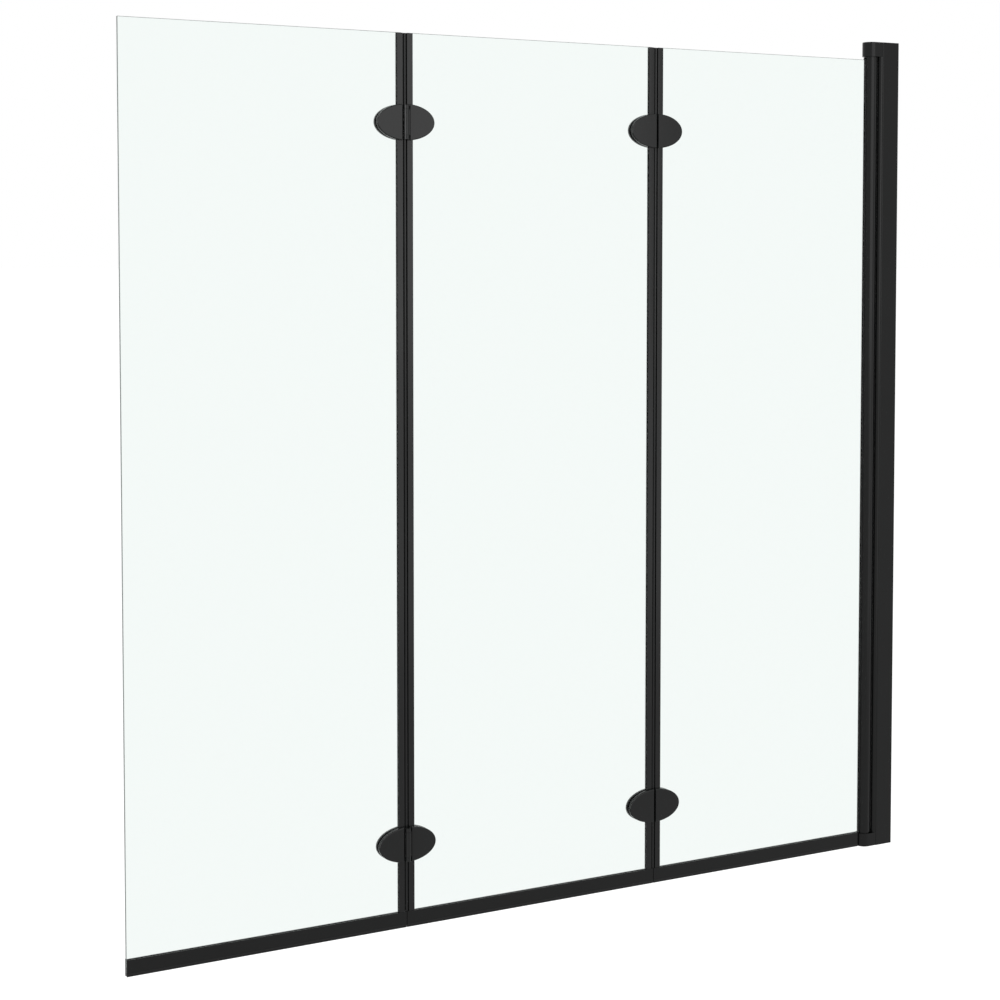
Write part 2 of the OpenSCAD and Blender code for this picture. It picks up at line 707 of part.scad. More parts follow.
module inner_upper_right_front_plate() inner_plate(upper_hinge_z, RIGHT, FRONT);
module inner_upper_right_back_plate() inner_plate(upper_hinge_z, RIGHT, BACK);
module inner_upper_middle_front_plate() inner_plate(upper_hinge_z, LEFT, FRONT);
module inner_upper_middle_back_plate() inner_plate(upper_hinge_z, LEFT, BACK);
module inner_upper_pin() hinge_pin(inner_seam_x, upper_hinge_z, BACK);
module inner_lower_right_front_plate() inner_plate(lower_hinge_z, RIGHT, FRONT);
module inner_lower_right_back_plate() inner_plate(lower_hinge_z, RIGHT, BACK);
module inner_lower_middle_front_plate() inner_plate(lower_hinge_z, LEFT, FRONT);
module inner_lower_middle_back_plate() inner_plate(lower_hinge_z, LEFT, BACK);
module inner_lower_pin() hinge_pin(inner_seam_x, lower_hinge_z, BACK);

module outer_upper_middle_front_plate() outer_plate(upper_hinge_z, RIGHT, FRONT);
module outer_upper_middle_back_plate() outer_plate(upper_hinge_z, RIGHT, BACK);
module outer_upper_left_front_plate() outer_plate(upper_hinge_z, LEFT, FRONT);
module outer_upper_left_back_plate() outer_plate(upper_hinge_z, LEFT, BACK);
module outer_upper_pin() hinge_pin(outer_seam_x, upper_hinge_z, FRONT);
module outer_lower_middle_front_plate() outer_plate(lower_hinge_z, RIGHT, FRONT);
module outer_lower_middle_back_plate() outer_plate(lower_hinge_z, RIGHT, BACK);
module outer_lower_left_front_plate() outer_plate(lower_hinge_z, LEFT, FRONT);
module outer_lower_left_back_plate() outer_plate(lower_hinge_z, LEFT, BACK);
module outer_lower_pin() hinge_pin(outer_seam_x, lower_hinge_z, FRONT);

module right_hinge_pads() hinge_pads(inner_seam_x, RIGHT);
module middle_inner_hinge_pads() hinge_pads(inner_seam_x, LEFT);
module middle_outer_hinge_pads() hinge_pads(outer_seam_x, RIGHT);
module left_hinge_pads() hinge_pads(outer_seam_x, LEFT);
module right_clamp_screws() clamp_screws(inner_seam_x, RIGHT);
module middle_inner_clamp_screws() clamp_screws(inner_seam_x, LEFT);
module middle_outer_clamp_screws() clamp_screws(outer_seam_x, RIGHT);
module left_clamp_screws() clamp_screws(outer_seam_x, LEFT);

// ---- Assembly ----

wall_channel();
adjusting_profile();
top_cap();
bottom_cap();
top_bush();
bottom_bush();
cap_screws();
side_screws();
side_screw_covers();
right_glass();
pivot_post();
post_gasket();
post_top_plug();
post_bottom_plug();
right_rail();
right_rail_end_cap();
right_wiper();
right_bulb_strip();
middle_glass();
middle_rail();
middle_wiper();
middle_plain_strip();
middle_bulb_strip();
left_glass();
left_rail();
left_rail_end_cap();
left_wiper();
left_plain_strip();
inner_upper_right_front_plate();
inner_upper_right_back_plate();
inner_upper_middle_front_plate();
inner_upper_middle_back_plate();
inner_upper_pin();
inner_lower_right_front_plate();
inner_lower_right_back_plate();
inner_lower_middle_front_plate();
inner_lower_middle_back_plate();
inner_lower_pin();
outer_upper_middle_front_plate();
outer_upper_middle_back_plate();
outer_upper_left_front_plate();
outer_upper_left_back_plate();
outer_upper_pin();
outer_lower_middle_front_plate();
outer_lower_middle_back_plate();
outer_lower_left_front_plate();
outer_lower_left_back_plate();
outer_lower_pin();
right_hinge_pads();
middle_inner_hinge_pads();
middle_outer_hinge_pads();
left_hinge_pads();
right_clamp_screws();
middle_inner_clamp_screws();
middle_outer_clamp_screws();
left_clamp_screws();
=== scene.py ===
# %% [markdown]
# # A folding bath screen, piece by piece
#
# The screen has three panes of toughened glass. The right one hangs on a round post beside a
# wall profile, and the other two fold on oval clamp hinges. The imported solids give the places
# and the outer sizes. This lesson dresses them: it models each visible piece with its real
# section and edges, gives it a finish, and sets up the light and the camera of the photograph.

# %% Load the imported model
import json
import math

import bmesh
import bpy
from mathutils import Matrix, Vector

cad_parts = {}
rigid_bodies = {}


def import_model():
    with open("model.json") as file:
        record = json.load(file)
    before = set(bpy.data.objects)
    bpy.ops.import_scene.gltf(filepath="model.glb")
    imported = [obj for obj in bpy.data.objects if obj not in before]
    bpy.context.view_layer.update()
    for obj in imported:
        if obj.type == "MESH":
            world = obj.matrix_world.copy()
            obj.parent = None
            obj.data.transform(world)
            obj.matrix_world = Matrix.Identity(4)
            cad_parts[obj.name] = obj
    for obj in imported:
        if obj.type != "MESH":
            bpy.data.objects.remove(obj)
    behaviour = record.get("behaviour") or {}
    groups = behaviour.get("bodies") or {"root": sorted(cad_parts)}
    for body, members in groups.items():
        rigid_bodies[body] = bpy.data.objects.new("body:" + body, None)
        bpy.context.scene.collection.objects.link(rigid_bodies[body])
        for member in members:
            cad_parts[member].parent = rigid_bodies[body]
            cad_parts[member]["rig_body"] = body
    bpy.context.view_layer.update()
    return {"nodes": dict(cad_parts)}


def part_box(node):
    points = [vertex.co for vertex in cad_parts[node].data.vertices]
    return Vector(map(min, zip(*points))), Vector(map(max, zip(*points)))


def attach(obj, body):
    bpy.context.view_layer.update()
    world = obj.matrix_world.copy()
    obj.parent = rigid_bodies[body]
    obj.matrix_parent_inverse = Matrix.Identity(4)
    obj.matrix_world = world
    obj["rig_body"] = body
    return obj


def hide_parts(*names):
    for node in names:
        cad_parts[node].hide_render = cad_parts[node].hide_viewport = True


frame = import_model()

# %% [markdown]
# ## Places that everything shares
#
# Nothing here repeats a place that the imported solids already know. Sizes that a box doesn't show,
# such as the wall of a tube, are named in millimetres in the cell of their own piece. The
# modelling counts in millimetres and Blender in metres, so `box_mm` gives the same box in
# millimetres.

# %% Read the seams and the heights from the solids
MM = 0.001
LEFT, RIGHT = -1, 1
FRONT, BACK = -1, 1


def box_mm(node):
    """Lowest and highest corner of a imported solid, in millimetres."""
    return [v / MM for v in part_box(node)]


outer_seam_x = (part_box("left_rail")[1].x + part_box("middle_rail")[0].x) / 2
inner_seam_x = (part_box("middle_rail")[1].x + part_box("right_rail")[0].x) / 2
rail_low, rail_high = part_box("middle_rail")
glass_low, glass_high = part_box("left_glass")
post_low, post_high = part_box("pivot_post")
post_x = post_high.x - post_high.y  # the pocket cuts the other side of the tube away
print(f"seams at {outer_seam_x:.4f} and {inner_seam_x:.4f} m, post at {post_x:.4f} m")

# %% [markdown]
# ## Small tools for the modelling
#
# Most pieces of a shower screen are extrusions: a section that is pulled along a line. In the
# editor one would draw the section, fill it, extrude it and bevel its edges, and the helpers
# below do the same with bmesh. A section is drawn from a few corners or from a spun arc, `pull`
# extrudes it, and `extrusion` does both for a section with straight sides.

# %% Draw and pull
def corner(u, v, plane, w=0.0):
    """A point in millimetres on a plane named by its two axes, at height w along the third."""
    spare = ({"x", "y", "z"} - set(plane)).pop()
    place = {plane[0]: u, plane[1]: v, spare: w}
    return Vector((place["x"], place["y"], place["z"])) * MM


def pull(bm, vector):
    """Extrude all faces of a flat drawing into a closed bar."""
    new = bmesh.ops.extrude_face_region(bm, geom=bm.faces[:])
    moved = [g for g in new["geom"] if isinstance(g, bmesh.types.BMVert)]
    bmesh.ops.translate(bm, verts=moved, vec=vector)
    bmesh.ops.recalc_face_normals(bm, faces=bm.faces[:])


def extrusion(section, plane, start, end):
    """A bar with its section on a plane, pulled along the third axis. All in millimetres."""
    bm = bmesh.new()
    bm.faces.new([bm.verts.new(corner(u, v, plane, start)) for u, v in section])
    pull(bm, corner(0, 0, plane, end - start))
    return bm


def volume_of(trial):
    """The volume of a trial piece in mm3; the piece is thrown away."""
    volume = round(trial.calc_volume() / MM ** 3)
    trial.free()
    return volume


trial_section = [(0, 0), (20, 0), (20, 10), (0, 10)]
print("a bar 50 mm long holds", volume_of(extrusion(trial_section, "xy", 0, 50)), "mm3")

# %% [markdown]
# No real edge is perfectly sharp, and a small bevel catches the light. `soften` bevels every
# edge that is sharper than an angle. Where only some edges are round, they are picked by where
# they lie, and `round_edges` bevels those.

# %% Soften edges
CLOSE = 1e-6  # metres, two places that are the same within float precision
TALL = 1.0  # metres, every upright bar of the screen is longer


def near(a, b):
    return abs(a - b) < CLOSE


def upright_edges(bm, test):
    """Edges that run up the whole bar, where their lower or upper corner passes the test."""
    return [e for e in bm.edges
            if abs(e.verts[0].co.z - e.verts[1].co.z) > TALL and test(e.verts[0].co)]


def round_edges(bm, edges, radius, segments):
    bmesh.ops.bevel(bm, geom=list(edges), offset=radius * MM, segments=segments,
                    profile=0.5, affect="EDGES", material=-1, clamp_overlap=True)


def soften(bm, radius, segments=2, angle=40):
    """Round every edge that is sharper than an angle in degrees."""
    sharp = [e for e in bm.edges
             if len(e.link_faces) == 2 and e.calc_face_angle(0) > math.radians(angle)]
    round_edges(bm, sharp, radius, segments)


trial = extrusion(trial_section, "xy", 0, 50)
soften(trial, 1)
print("the softened bar holds", volume_of(trial), "mm3")

# %% [markdown]
# Some tools are short solids of their own: a rod for a hole, a cone for a countersink, a block
# for a slot. They come from `create_cone` and `create_cube`.

# %% Rods and blocks
TURN = {"x": Matrix.Rotation(math.radians(90), 4, "Y"),
        "y": Matrix.Rotation(math.radians(-90), 4, "X"),
        "z": Matrix.Identity(4)}


def rod(middle, axis, radius, length, end_radius=None, segments=48):
    """A cylinder, or a cone where the second radius differs. Sizes in millimetres."""
    bm = bmesh.new()
    bmesh.ops.create_cone(
        bm, cap_ends=True, segments=segments, radius1=radius * MM,
        radius2=(radius if end_radius is None else end_radius) * MM, depth=length * MM,
        matrix=Matrix.Translation(Vector(middle) * MM) @ TURN[axis])
    return bm


def block(low, high):
    low, high = Vector(low) * MM, Vector(high) * MM
    bm = bmesh.new()
    bmesh.ops.create_cube(bm, size=1)
    bmesh.ops.scale(bm, verts=bm.verts[:], vec=high - low)
    bmesh.ops.translate(bm, verts=bm.verts[:], vec=(low + high) / 2)
    return bm


print("a rod 10 mm thick and 20 mm long holds", volume_of(rod((0, 0, 0), "z", 5, 20)), "mm3")

# %% [markdown]
# bmesh has no Boolean operator, so holes and welded parts use the Boolean modifier. `join` hands
# a list of tools to its exact solver, one after the other, and gives back a clean bmesh.

# %% Weld and cut
SAME_POINT, FLAT_ANGLE = 0.002, 0.3  # in millimetres and degrees
OVER = 1  # how far a cutting tool sticks out of what it cuts, in millimetres


def mesh_object(name, bm):
    mesh = bpy.data.meshes.new(name)
    bm.to_mesh(mesh)
    bm.free()
    thing = bpy.data.objects.new(name, mesh)
    bpy.context.scene.collection.objects.link(thing)
    return thing


def join(bm, tools, operation):
    """Weld tools on, or cut them out, with one Boolean modifier for each."""
    base = mesh_object("base", bm)
    cutters = [mesh_object("tool", tool) for tool in tools]
    for cutter in cutters:
        modifier = base.modifiers.new("join", "BOOLEAN")
        modifier.operation, modifier.object, modifier.solver = operation, cutter, "EXACT"
    shown = base.evaluated_get(bpy.context.evaluated_depsgraph_get())
    result = bmesh.new()
    result.from_mesh(shown.to_mesh())
    shown.to_mesh_clear()
    for used in [base, *cutters]:
        mesh = used.data
        bpy.data.objects.remove(used)
        bpy.data.meshes.remove(mesh)
    bmesh.ops.remove_doubles(result, verts=result.verts[:], dist=SAME_POINT * MM)
    bmesh.ops.dissolve_limit(result, angle_limit=math.radians(FLAT_ANGLE),
                             verts=result.verts[:], edges=result.edges[:], delimit={"NORMAL"})
    return result


def weld(bm, *tools):
    return join(bm, tools, "UNION")


def cut(bm, *tools):
    return join(bm, tools, "DIFFERENCE")


trial = cut(block((0, 0, 0), (20, 20, 5)), rod((10, 10, 2.5), "z", 4, 7))
print("a block of 2000 mm3 with a hole holds", volume_of(trial), "mm3")

# %% [markdown]
# A bent section such as a round post needs an arc. `spin` turns one vertex about a centre and
# leaves the edges of the arc behind. `fill_loops` then fills a drawing made of loops, one inside
# the other, which a single face can't do.

# %% Arcs and filled loops
def arc(bm, centre, start, degrees, steps):
    """Vertices of an arc about the Z axis through a centre, from a start point."""
    first = bm.verts.new(start)
    bmesh.ops.spin(bm, geom=[first], cent=centre, axis=(0, 0, 1), dvec=(0, 0, 0),
                   angle=math.radians(degrees), steps=steps, use_duplicate=False)
    bm.verts.ensure_lookup_table()
    return first, bm.verts[-1]


def chain(bm, *verts):
    for a, b in zip(verts, verts[1:]):
        bm.edges.new((a, b))


def fill_loops(bm):
    bmesh.ops.triangle_fill(bm, edges=bm.edges[:], use_beauty=True, use_dissolve=False)


trial = bmesh.new()
chain(trial, *arc(trial, Vector((0, 0, 0)), Vector((10 * MM, 0, 0)), 180, 16))
fill_loops(trial)
pull(trial, (0, 0, 10 * MM))
print("half a disc of 20 by 10 mm holds", volume_of(trial), "mm3")

# %% [markdown]
# ## Shader maths in plain Python
#
# A finish is a network of nodes. Instead of adding and linking each one by hand, a `Wire` stands
# for an output socket, and an expression such as `0.2 + 0.1 * grain` adds its Math nodes. Every
# other node comes from `Finish.node`. A value that is the same all over the surface is set on
# the shader's own socket.

# %% Wire
class Wire:
    """One output socket that can be used in an expression."""

    def __init__(self, finish, socket):
        self.finish, self.socket = finish, socket

    def maths(self, operation, a, b):
        return self.finish.node("ShaderNodeMath", {"operation": operation}, {0: a, 1: b})

    def __add__(self, other):
        return self.maths("ADD", self, other)

    def __mul__(self, other):
        return self.maths("MULTIPLY", self, other)

    __radd__, __rmul__ = __add__, __mul__


print("a Wire takes + and *, from either side")


# %% Finish
class Finish:
    """A material on a Principled shader, with its constants given by socket name."""

    def __init__(self, name, constants):
        self.material = bpy.data.materials.new(name)
        self.material.use_nodes = True
        self.tree = self.material.node_tree
        self.shader = self.tree.nodes["Principled BSDF"]
        for socket, value in constants.items():
            self.shader.inputs[socket].default_value = value
        self.place = self.node("ShaderNodeTexCoord", output="Object")

    def node(self, kind, settings=None, sockets=None, output=0):
        """Any node: its settings first, then the values or wires of its sockets."""
        node = self.tree.nodes.new(kind)
        for key, value in (settings or {}).items():
            setattr(node, key, value)
        for key, value in (sockets or {}).items():
            self.feed(node.inputs[key], value)
        return Wire(self, node.outputs[output])

    def feed(self, socket, value):
        if isinstance(value, Wire):
            self.tree.links.new(value.socket, socket)
        else:
            socket.default_value = value

    def noise(self, scale, detail=2.0, stretch=(1, 1, 1)):
        """Noise on the piece's own coordinates; scale times stretch is features in a metre."""
        place = self.node("ShaderNodeMapping", {}, {"Vector": self.place, "Scale": stretch})
        return self.node("ShaderNodeTexNoise", {}, {
            "Vector": place, "Scale": scale, "Detail": detail}, output="Fac")

    def blend(self, mask, dark, light):
        """A colour between two, by a mask."""
        return self.node("ShaderNodeMix", {"data_type": "RGBA"}, {
            "Factor": mask, 6: (*dark, 1), 7: (*light, 1)}, output=2)

    def surface(self, colour, roughness=None, height=None, depth=0.0):
        """Connect what varies over the surface; depth of the relief in millimetres."""
        self.feed(self.shader.inputs["Base Color"], colour)
        if roughness is not None:
            self.feed(self.shader.inputs["Roughness"], roughness)
        if height is not None:
            bump = self.node("ShaderNodeBump", {}, {
                "Height": height, "Distance": depth * MM, "Strength": 1.0}, output="Normal")
            self.feed(self.shader.inputs["Normal"], bump)
        return self.material


print("materials before the first finish:", len(bpy.data.materials))

# %% [markdown]
# ## The black finishes
#
# Everything but the glass and the screws is black, so the finishes differ in gloss and relief.
# Extrusions are powder-coated: a satin coat with a fine orange-peel, whose lumps are under a
# millimetre across. The cast hinges have a smoother coat, the mouldings a fine grained skin, and
# the rubber faint streaks along its length from the die. The coats reflect little, hence the low
# specular level.

# %% Powder coat, hinge coat and moulded plastic
CLOUDS_PER_METRE, GRAIN_SHARE = 9, 0.03


def satin_black(name, dark, light, rough, cloudy, peel, depth, level):
    """A black coat: clouded colour, clouded gloss and an orange-peel of `peel` lumps a metre."""
    finish = Finish(name, {"Specular IOR Level": level, "Metallic": 0.0})
    clouds = finish.noise(CLOUDS_PER_METRE, 3)
    grain = finish.noise(peel, 2)
    colour = finish.blend(clouds, dark, light)
    roughness = rough + cloudy * clouds + GRAIN_SHARE * grain
    return finish.surface(colour, roughness, grain, depth)


powder_coat = satin_black("powder_coat", (0.0056, 0.0059, 0.0059), (0.0079, 0.0083, 0.0082),
                          rough=0.11, cloudy=0.05, peel=1500, depth=0.002, level=0.18)
hinge_coat = satin_black("hinge_coat", (0.0060, 0.0064, 0.0064), (0.0084, 0.0088, 0.0087),
                         rough=0.12, cloudy=0.04, peel=900, depth=0.002, level=0.21)
moulded_black = satin_black("moulded_black", (0.0052, 0.0054, 0.0055), (0.0072, 0.0074, 0.0074),
                            rough=0.20, cloudy=0.06, peel=2600, depth=0.004, level=0.18)
print("coats:", powder_coat.name, hinge_coat.name, moulded_black.name)

# %% Extruded rubber and the pads
ACROSS, ALONG, EVEN = 1200, 6, 400  # features in a metre


def drawn_rubber(name, stretch, rough, level):
    """Rubber from a die: the noise is stretched along the length of the profile."""
    finish = Finish(name, {"Specular IOR Level": level})
    streaks = finish.noise(1, 3, stretch)
    bloom = finish.noise(14, 2)
    colour = finish.blend(bloom, (0.0052, 0.0054, 0.0055), (0.0082, 0.0084, 0.0084))
    return finish.surface(colour, rough + 0.08 * bloom, streaks, 0.004)


upright_rubber = drawn_rubber("upright_rubber", (ACROSS, ACROSS, ALONG), rough=0.12, level=0.24)
wiper_rubber = drawn_rubber("wiper_rubber", (ALONG, ACROSS, ACROSS), rough=0.32, level=0.2)
pad_rubber = drawn_rubber("pad_rubber", (EVEN, EVEN, EVEN), rough=0.5, level=0.3)
print("rubber:", upright_rubber.name, wiper_rubber.name, pad_rubber.name)

# %% [markdown]
# ## Steel and glass
#
# The screws are turned stainless steel, with fine rings that a stretched noise imitates.
# Toughened glass is clear with a faint green cast, which transmission gives with a tinted base
# colour. Its ground edges scatter light and look grey, so they get a finish of their own.

# %% Steel
finish = Finish("turned_steel", {"Metallic": 1.0})
rings = finish.noise(1, 2, (700, 2600, 700))
stain = finish.noise(60, 2)
colour = finish.blend(stain, (0.47, 0.47, 0.46), (0.60, 0.60, 0.59))
steel = finish.surface(colour, 0.22 + 0.16 * rings, rings, 0.004)
print("screws:", steel.name)

# %% Clear glass and its ground edge
finish = Finish("toughened_glass", {"Transmission Weight": 1.0, "IOR": 1.5, "Roughness": 0.0})
drift = finish.noise(3, 1)
clear_glass = finish.surface(finish.blend(drift, (0.902, 0.951, 0.931), (0.906, 0.954, 0.935)))

finish = Finish("ground_edge", {"Transmission Weight": 0.35, "IOR": 1.5})
grind = finish.noise(2200, 2)
colour = finish.blend(grind, (0.30, 0.34, 0.33), (0.40, 0.45, 0.43))
glass_edge = finish.surface(colour, 0.35 + 0.2 * grind, grind, 0.01)
print("clear:", clear_glass.name, glass_edge.name)

# %% [markdown]
# ## Handing a piece over
#
# A finished bmesh becomes an object with its place in its mesh. It is smooth except at edges
# sharper than 30 degrees, and weighted normals keep the large flat faces flat beside their small
# bevels. Each piece rides on its body and replaces its imported solid.

# %% Finish a piece
SMOOTH_ANGLE = 30
made = []


def piece(name, bm, node, slot, *finishes, second=None):
    """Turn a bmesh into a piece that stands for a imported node; `second` picks the faces of the
    second finish."""
    bmesh.ops.recalc_face_normals(bm, faces=bm.faces[:])
    if second:
        for face in bm.faces:
            face.material_index = int(second(face))
    thing = mesh_object(name, bm)
    for finish in finishes:
        thing.data.materials.append(finish)
    thing.data.shade_smooth()
    thing.data.set_sharp_from_angle(angle=math.radians(SMOOTH_ANGLE))
    normals = thing.modifiers.new("flat faces stay flat", "WEIGHTED_NORMAL")
    normals.keep_sharp = True
    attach(thing, frame["nodes"][node]["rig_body"])
    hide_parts(node)
    made.append(name)


print("pieces made so far:", len(made))

# %% [markdown]
# ## The wall channel
#
# The channel is the flat upright against the wall: a U of extruded aluminium that takes the
# adjusting profile. It starts as the eight corners of the U, which are pulled up the wall. Its
# four outer edges are rounded first and all others are only broken, as the die leaves them. The
# holes for the wall screws and the side screws are cut last.

# %% Measure the side screws
side_screw_low, side_screw_high = box_mm("side_screws")
side_screw_x = (side_screw_low.x + side_screw_high.x) / 2
side_head_r = (side_screw_high.x - side_screw_low.x) / 2
side_screw_zs = [side_screw_low.z + side_head_r, (side_screw_low.z + side_screw_high.z) / 2,
                 side_screw_high.z - side_head_r]
print("side screws at heights", [round(z) for z in side_screw_zs], "mm")

# %% Model the wall channel
CHANNEL_WALL, CHANNEL_WEB, CHANNEL_ROUND = 2.0, 3.0, 1.8
EDGE_BREAK = 0.25
WALL_HOLES = (125, 475, 825, 1175)
WALL_HOLE_R, WALL_DRILL, SIDE_HOLE_R, SIDE_DRILL = 2.75, 12, 2.1, 8

low, high = box_mm("wall_channel")
mouth = low.x
inner = high.y - CHANNEL_WALL
web_x = high.x - CHANNEL_WEB
bm = extrusion([(mouth, low.y), (high.x, low.y), (high.x, high.y), (mouth, high.y),
                (mouth, inner), (web_x, inner), (web_x, -inner), (mouth, -inner)],
               "xy", low.z, high.z)
outer_corners = upright_edges(bm, lambda co: near(abs(co.y), high.y * MM))
round_edges(bm, outer_corners, CHANNEL_ROUND, 5)
soften(bm, EDGE_BREAK)
bm = cut(bm, *[rod((high.x, 0, z), "x", WALL_HOLE_R, WALL_DRILL) for z in WALL_HOLES],
         *[rod((side_screw_x, high.y, z), "y", SIDE_HOLE_R, SIDE_DRILL)
           for z in side_screw_zs])
piece("channel_extrusion", bm, "wall_channel", "black_profile", powder_coat)
print("channel:", round(high.z - low.z), "mm high,", len(WALL_HOLES), "wall holes")

# %% [markdown]
# ## The adjusting profile
#
# Its head covers the mouth of the channel, with two well rounded edges beside the post, and its
# sleeve slides inside. The hollow face follows the round post, and two ports inside take the
# screws of the end caps. Head and sleeve are blocks that are welded and then cut by rods: that
# is how the hollow face, the walls and the ports come about on the solid.

# %% Model the adjusting profile
PROFILE_WALL, PROFILE_HALF, HEAD_ROUND, SEAT_R = 2.0, 10.8, 5.0, 12.0
HEAD_GAP = 0.1
PORT_X, PORT_Y, PORT_R, PORT_HOLE_R = -27.0, 6.0, 3.4, 2.0
PROFILE_DRILL = 12

low, high = box_mm("adjusting_profile")
post_mm = post_x / MM


def long_rod(x, y, radius, segments=96, over=2):
    """A rod up the whole profile, and half of `over` beyond either end."""
    return rod((x, y, (low.z + high.z) / 2), "z", radius, high.z - low.z + over,
               segments=segments)


head = block(low, (mouth - HEAD_GAP, high.y, high.z))
round_edges(head, upright_edges(head, lambda co: near(co.x, low.x * MM)), HEAD_ROUND, 8)
sleeve = block(((low.x + mouth) / 2, -PROFILE_HALF, low.z), (high.x, PROFILE_HALF, high.z))
inside = PROFILE_HALF - PROFILE_WALL
hollow = cut(block((low.x - OVER, -inside, low.z - OVER),
                   (high.x + OVER, inside, high.z + OVER)),
             long_rod(post_mm, 0, SEAT_R + PROFILE_WALL, over=6))
bm = cut(weld(head, sleeve), long_rod(post_mm, 0, SEAT_R), hollow)
bm = weld(bm, *[long_rod(PORT_X, s * PORT_Y, PORT_R, 48, 0) for s in (-1, 1)])
bm = cut(bm, *[long_rod(PORT_X, s * PORT_Y, PORT_HOLE_R, 32) for s in (-1, 1)],
         *[rod((side_screw_x, high.y, z), "y", SIDE_HOLE_R, PROFILE_DRILL)
           for z in side_screw_zs])
piece("sliding_profile", bm, "adjusting_profile", "black_profile", powder_coat)
print("adjusting profile stands", round(mouth - low.x, 1), "mm out of the channel")

# %% [markdown]
# ## The pivot post and its gasket
#
# The post is a round tube with a pocket for the glass. Its section has two loops: the outer one
# runs round the tube and into the pocket, and the inner one is the hollow beside the pocket.
# Both arcs are spun from one vertex. The rubber gasket is a U that fills the pocket around the
# edge of the glass and stands a little proud of it.

# %% Model the pivot post
POST_R, POST_WALL, POCKET_HALF, POCKET_FLOOR = 11.0, 1.6, 3.2, -0.5
POST_BREAK = 0.2


def post_loop(bm, radius, half_width, floor_u):
    """An arc from the lower lip round to the upper one, closed by the walls of the pocket."""
    reach = math.sqrt(radius ** 2 - half_width ** 2)
    sweep = 360 - 2 * math.degrees(math.asin(half_width / radius))
    centre = Vector((post_x, 0, post_low.z))
    start = centre + Vector((-reach, -half_width, 0)) * MM
    first, last = arc(bm, centre, start, sweep, 72)
    pocket = [bm.verts.new(centre + Vector((floor_u, side * half_width, 0)) * MM)
              for side in (1, -1)]
    chain(bm, last, *pocket, first)


bm = bmesh.new()
post_loop(bm, POST_R, POCKET_HALF, POCKET_FLOOR)
post_loop(bm, POST_R - POST_WALL, POCKET_HALF + POST_WALL, POCKET_FLOOR + POST_WALL)
fill_loops(bm)
pull(bm, (0, 0, post_high.z - post_low.z))
soften(bm, POST_BREAK)
piece("post_tube", bm, "pivot_post", "black_profile", powder_coat)
print("post:", round((post_high.z - post_low.z) / MM), "mm long")

# %% Model the gasket
GLASS_HALF = (glass_high.y - glass_low.y) / MM / 2
GASKET_ROUND = 0.35

low, high = box_mm("post_gasket")
glass_end = box_mm("right_glass")[1].x
bm = extrusion([(low.x, low.y), (high.x, low.y), (high.x, high.y), (low.x, high.y),
                (low.x, GLASS_HALF), (glass_end, GLASS_HALF), (glass_end, -GLASS_HALF),
                (low.x, -GLASS_HALF)], "xy", low.z, high.z)
lips = upright_edges(bm, lambda co: near(co.x, low.x * MM))
round_edges(bm, lips, GASKET_ROUND, 3)
piece("glazing_gasket", bm, "post_gasket", "black_rubber", upright_rubber)
print("gasket lips rounded:", len(lips))

# %% [markdown]
# ## The end caps
#
# The caps close both ends of the wall profile and carry the post: a round nose over the post, a
# block as wide as the channel, and a narrower plug inside it. The outline is half a circle, spun,
# and six corners. The outer rim is rounded as a moulding's would be. A blind bore takes the bush,
# and two screws sit in deep recesses.

# %% Model the end caps
PLUG_PLAY, NOSE_R = 0.1, 13.0
BUSH_BORE_R, BUSH_BORE_DEEP = 6.15, 15.6
RECESS_R, RECESS_DEEP, SHANK_HOLE_R = 3.8, 4.8, 2.05
CAP_ROUND, CAP_BREAK = 0.9, 0.2


def end_cap(node, inner_z, outer_z):
    """A cap between its inner face, towards the post, and its outer face. Heights in mm."""
    way = 1 if outer_z > inner_z else -1
    bm = bmesh.new()
    centre = corner(post_mm, 0, "xy", inner_z)
    first, last = arc(bm, centre, centre + Vector((0, NOSE_R, 0)) * MM, 180, 40)
    block_x, plug_x = mouth - PLUG_PLAY, -CHANNEL_WEB - PLUG_PLAY
    plug_y = NOSE_R - CHANNEL_WALL - PLUG_PLAY
    corners = [bm.verts.new(corner(x, y, "xy", inner_z)) for x, y in (
        (block_x, -NOSE_R), (block_x, -plug_y), (plug_x, -plug_y),
        (plug_x, plug_y), (block_x, plug_y), (block_x, NOSE_R))]
    chain(bm, last, *corners, first)
    bmesh.ops.contextual_create(bm, geom=bm.edges[:])
    pull(bm, (0, 0, (outer_z - inner_z) * MM))
    outer_rim = [e for e in bm.edges
                 if all(near(v.co.z, outer_z * MM) for v in e.verts)
                 and min(v.co.x for v in e.verts) < (block_x - PLUG_PLAY) * MM]
    round_edges(bm, outer_rim, CAP_ROUND, 4)
    soften(bm, CAP_BREAK, 2, 50)
    bores = [rod((post_mm, 0, inner_z + way * (BUSH_BORE_DEEP - OVER) / 2), "z", BUSH_BORE_R,
                 BUSH_BORE_DEEP + OVER)]
    for s in (-1, 1):
        bores.append(rod((PORT_X, s * PORT_Y, (inner_z + outer_z) / 2), "z", SHANK_HOLE_R,
                         abs(outer_z - inner_z) + 2 * OVER, segments=32))
        bores.append(rod((PORT_X, s * PORT_Y, outer_z - way * (RECESS_DEEP - OVER) / 2), "z",
                         RECESS_R, RECESS_DEEP + OVER))
    piece(node + "_moulding", cut(bm, *bores), node, "black_plastic", moulded_black)


# each cap's inner face, towards the post, and its outer face
cap_faces = {"top_cap": (box_mm("top_cap")[0].z, box_mm("top_cap")[1].z),
             "bottom_cap": (box_mm("bottom_cap")[1].z, box_mm("bottom_cap")[0].z)}
for node, faces in cap_faces.items():
    end_cap(node, *faces)
print("end caps:", {node: round(abs(a - b), 2) for node, (a, b) in cap_faces.items()}, "mm high")

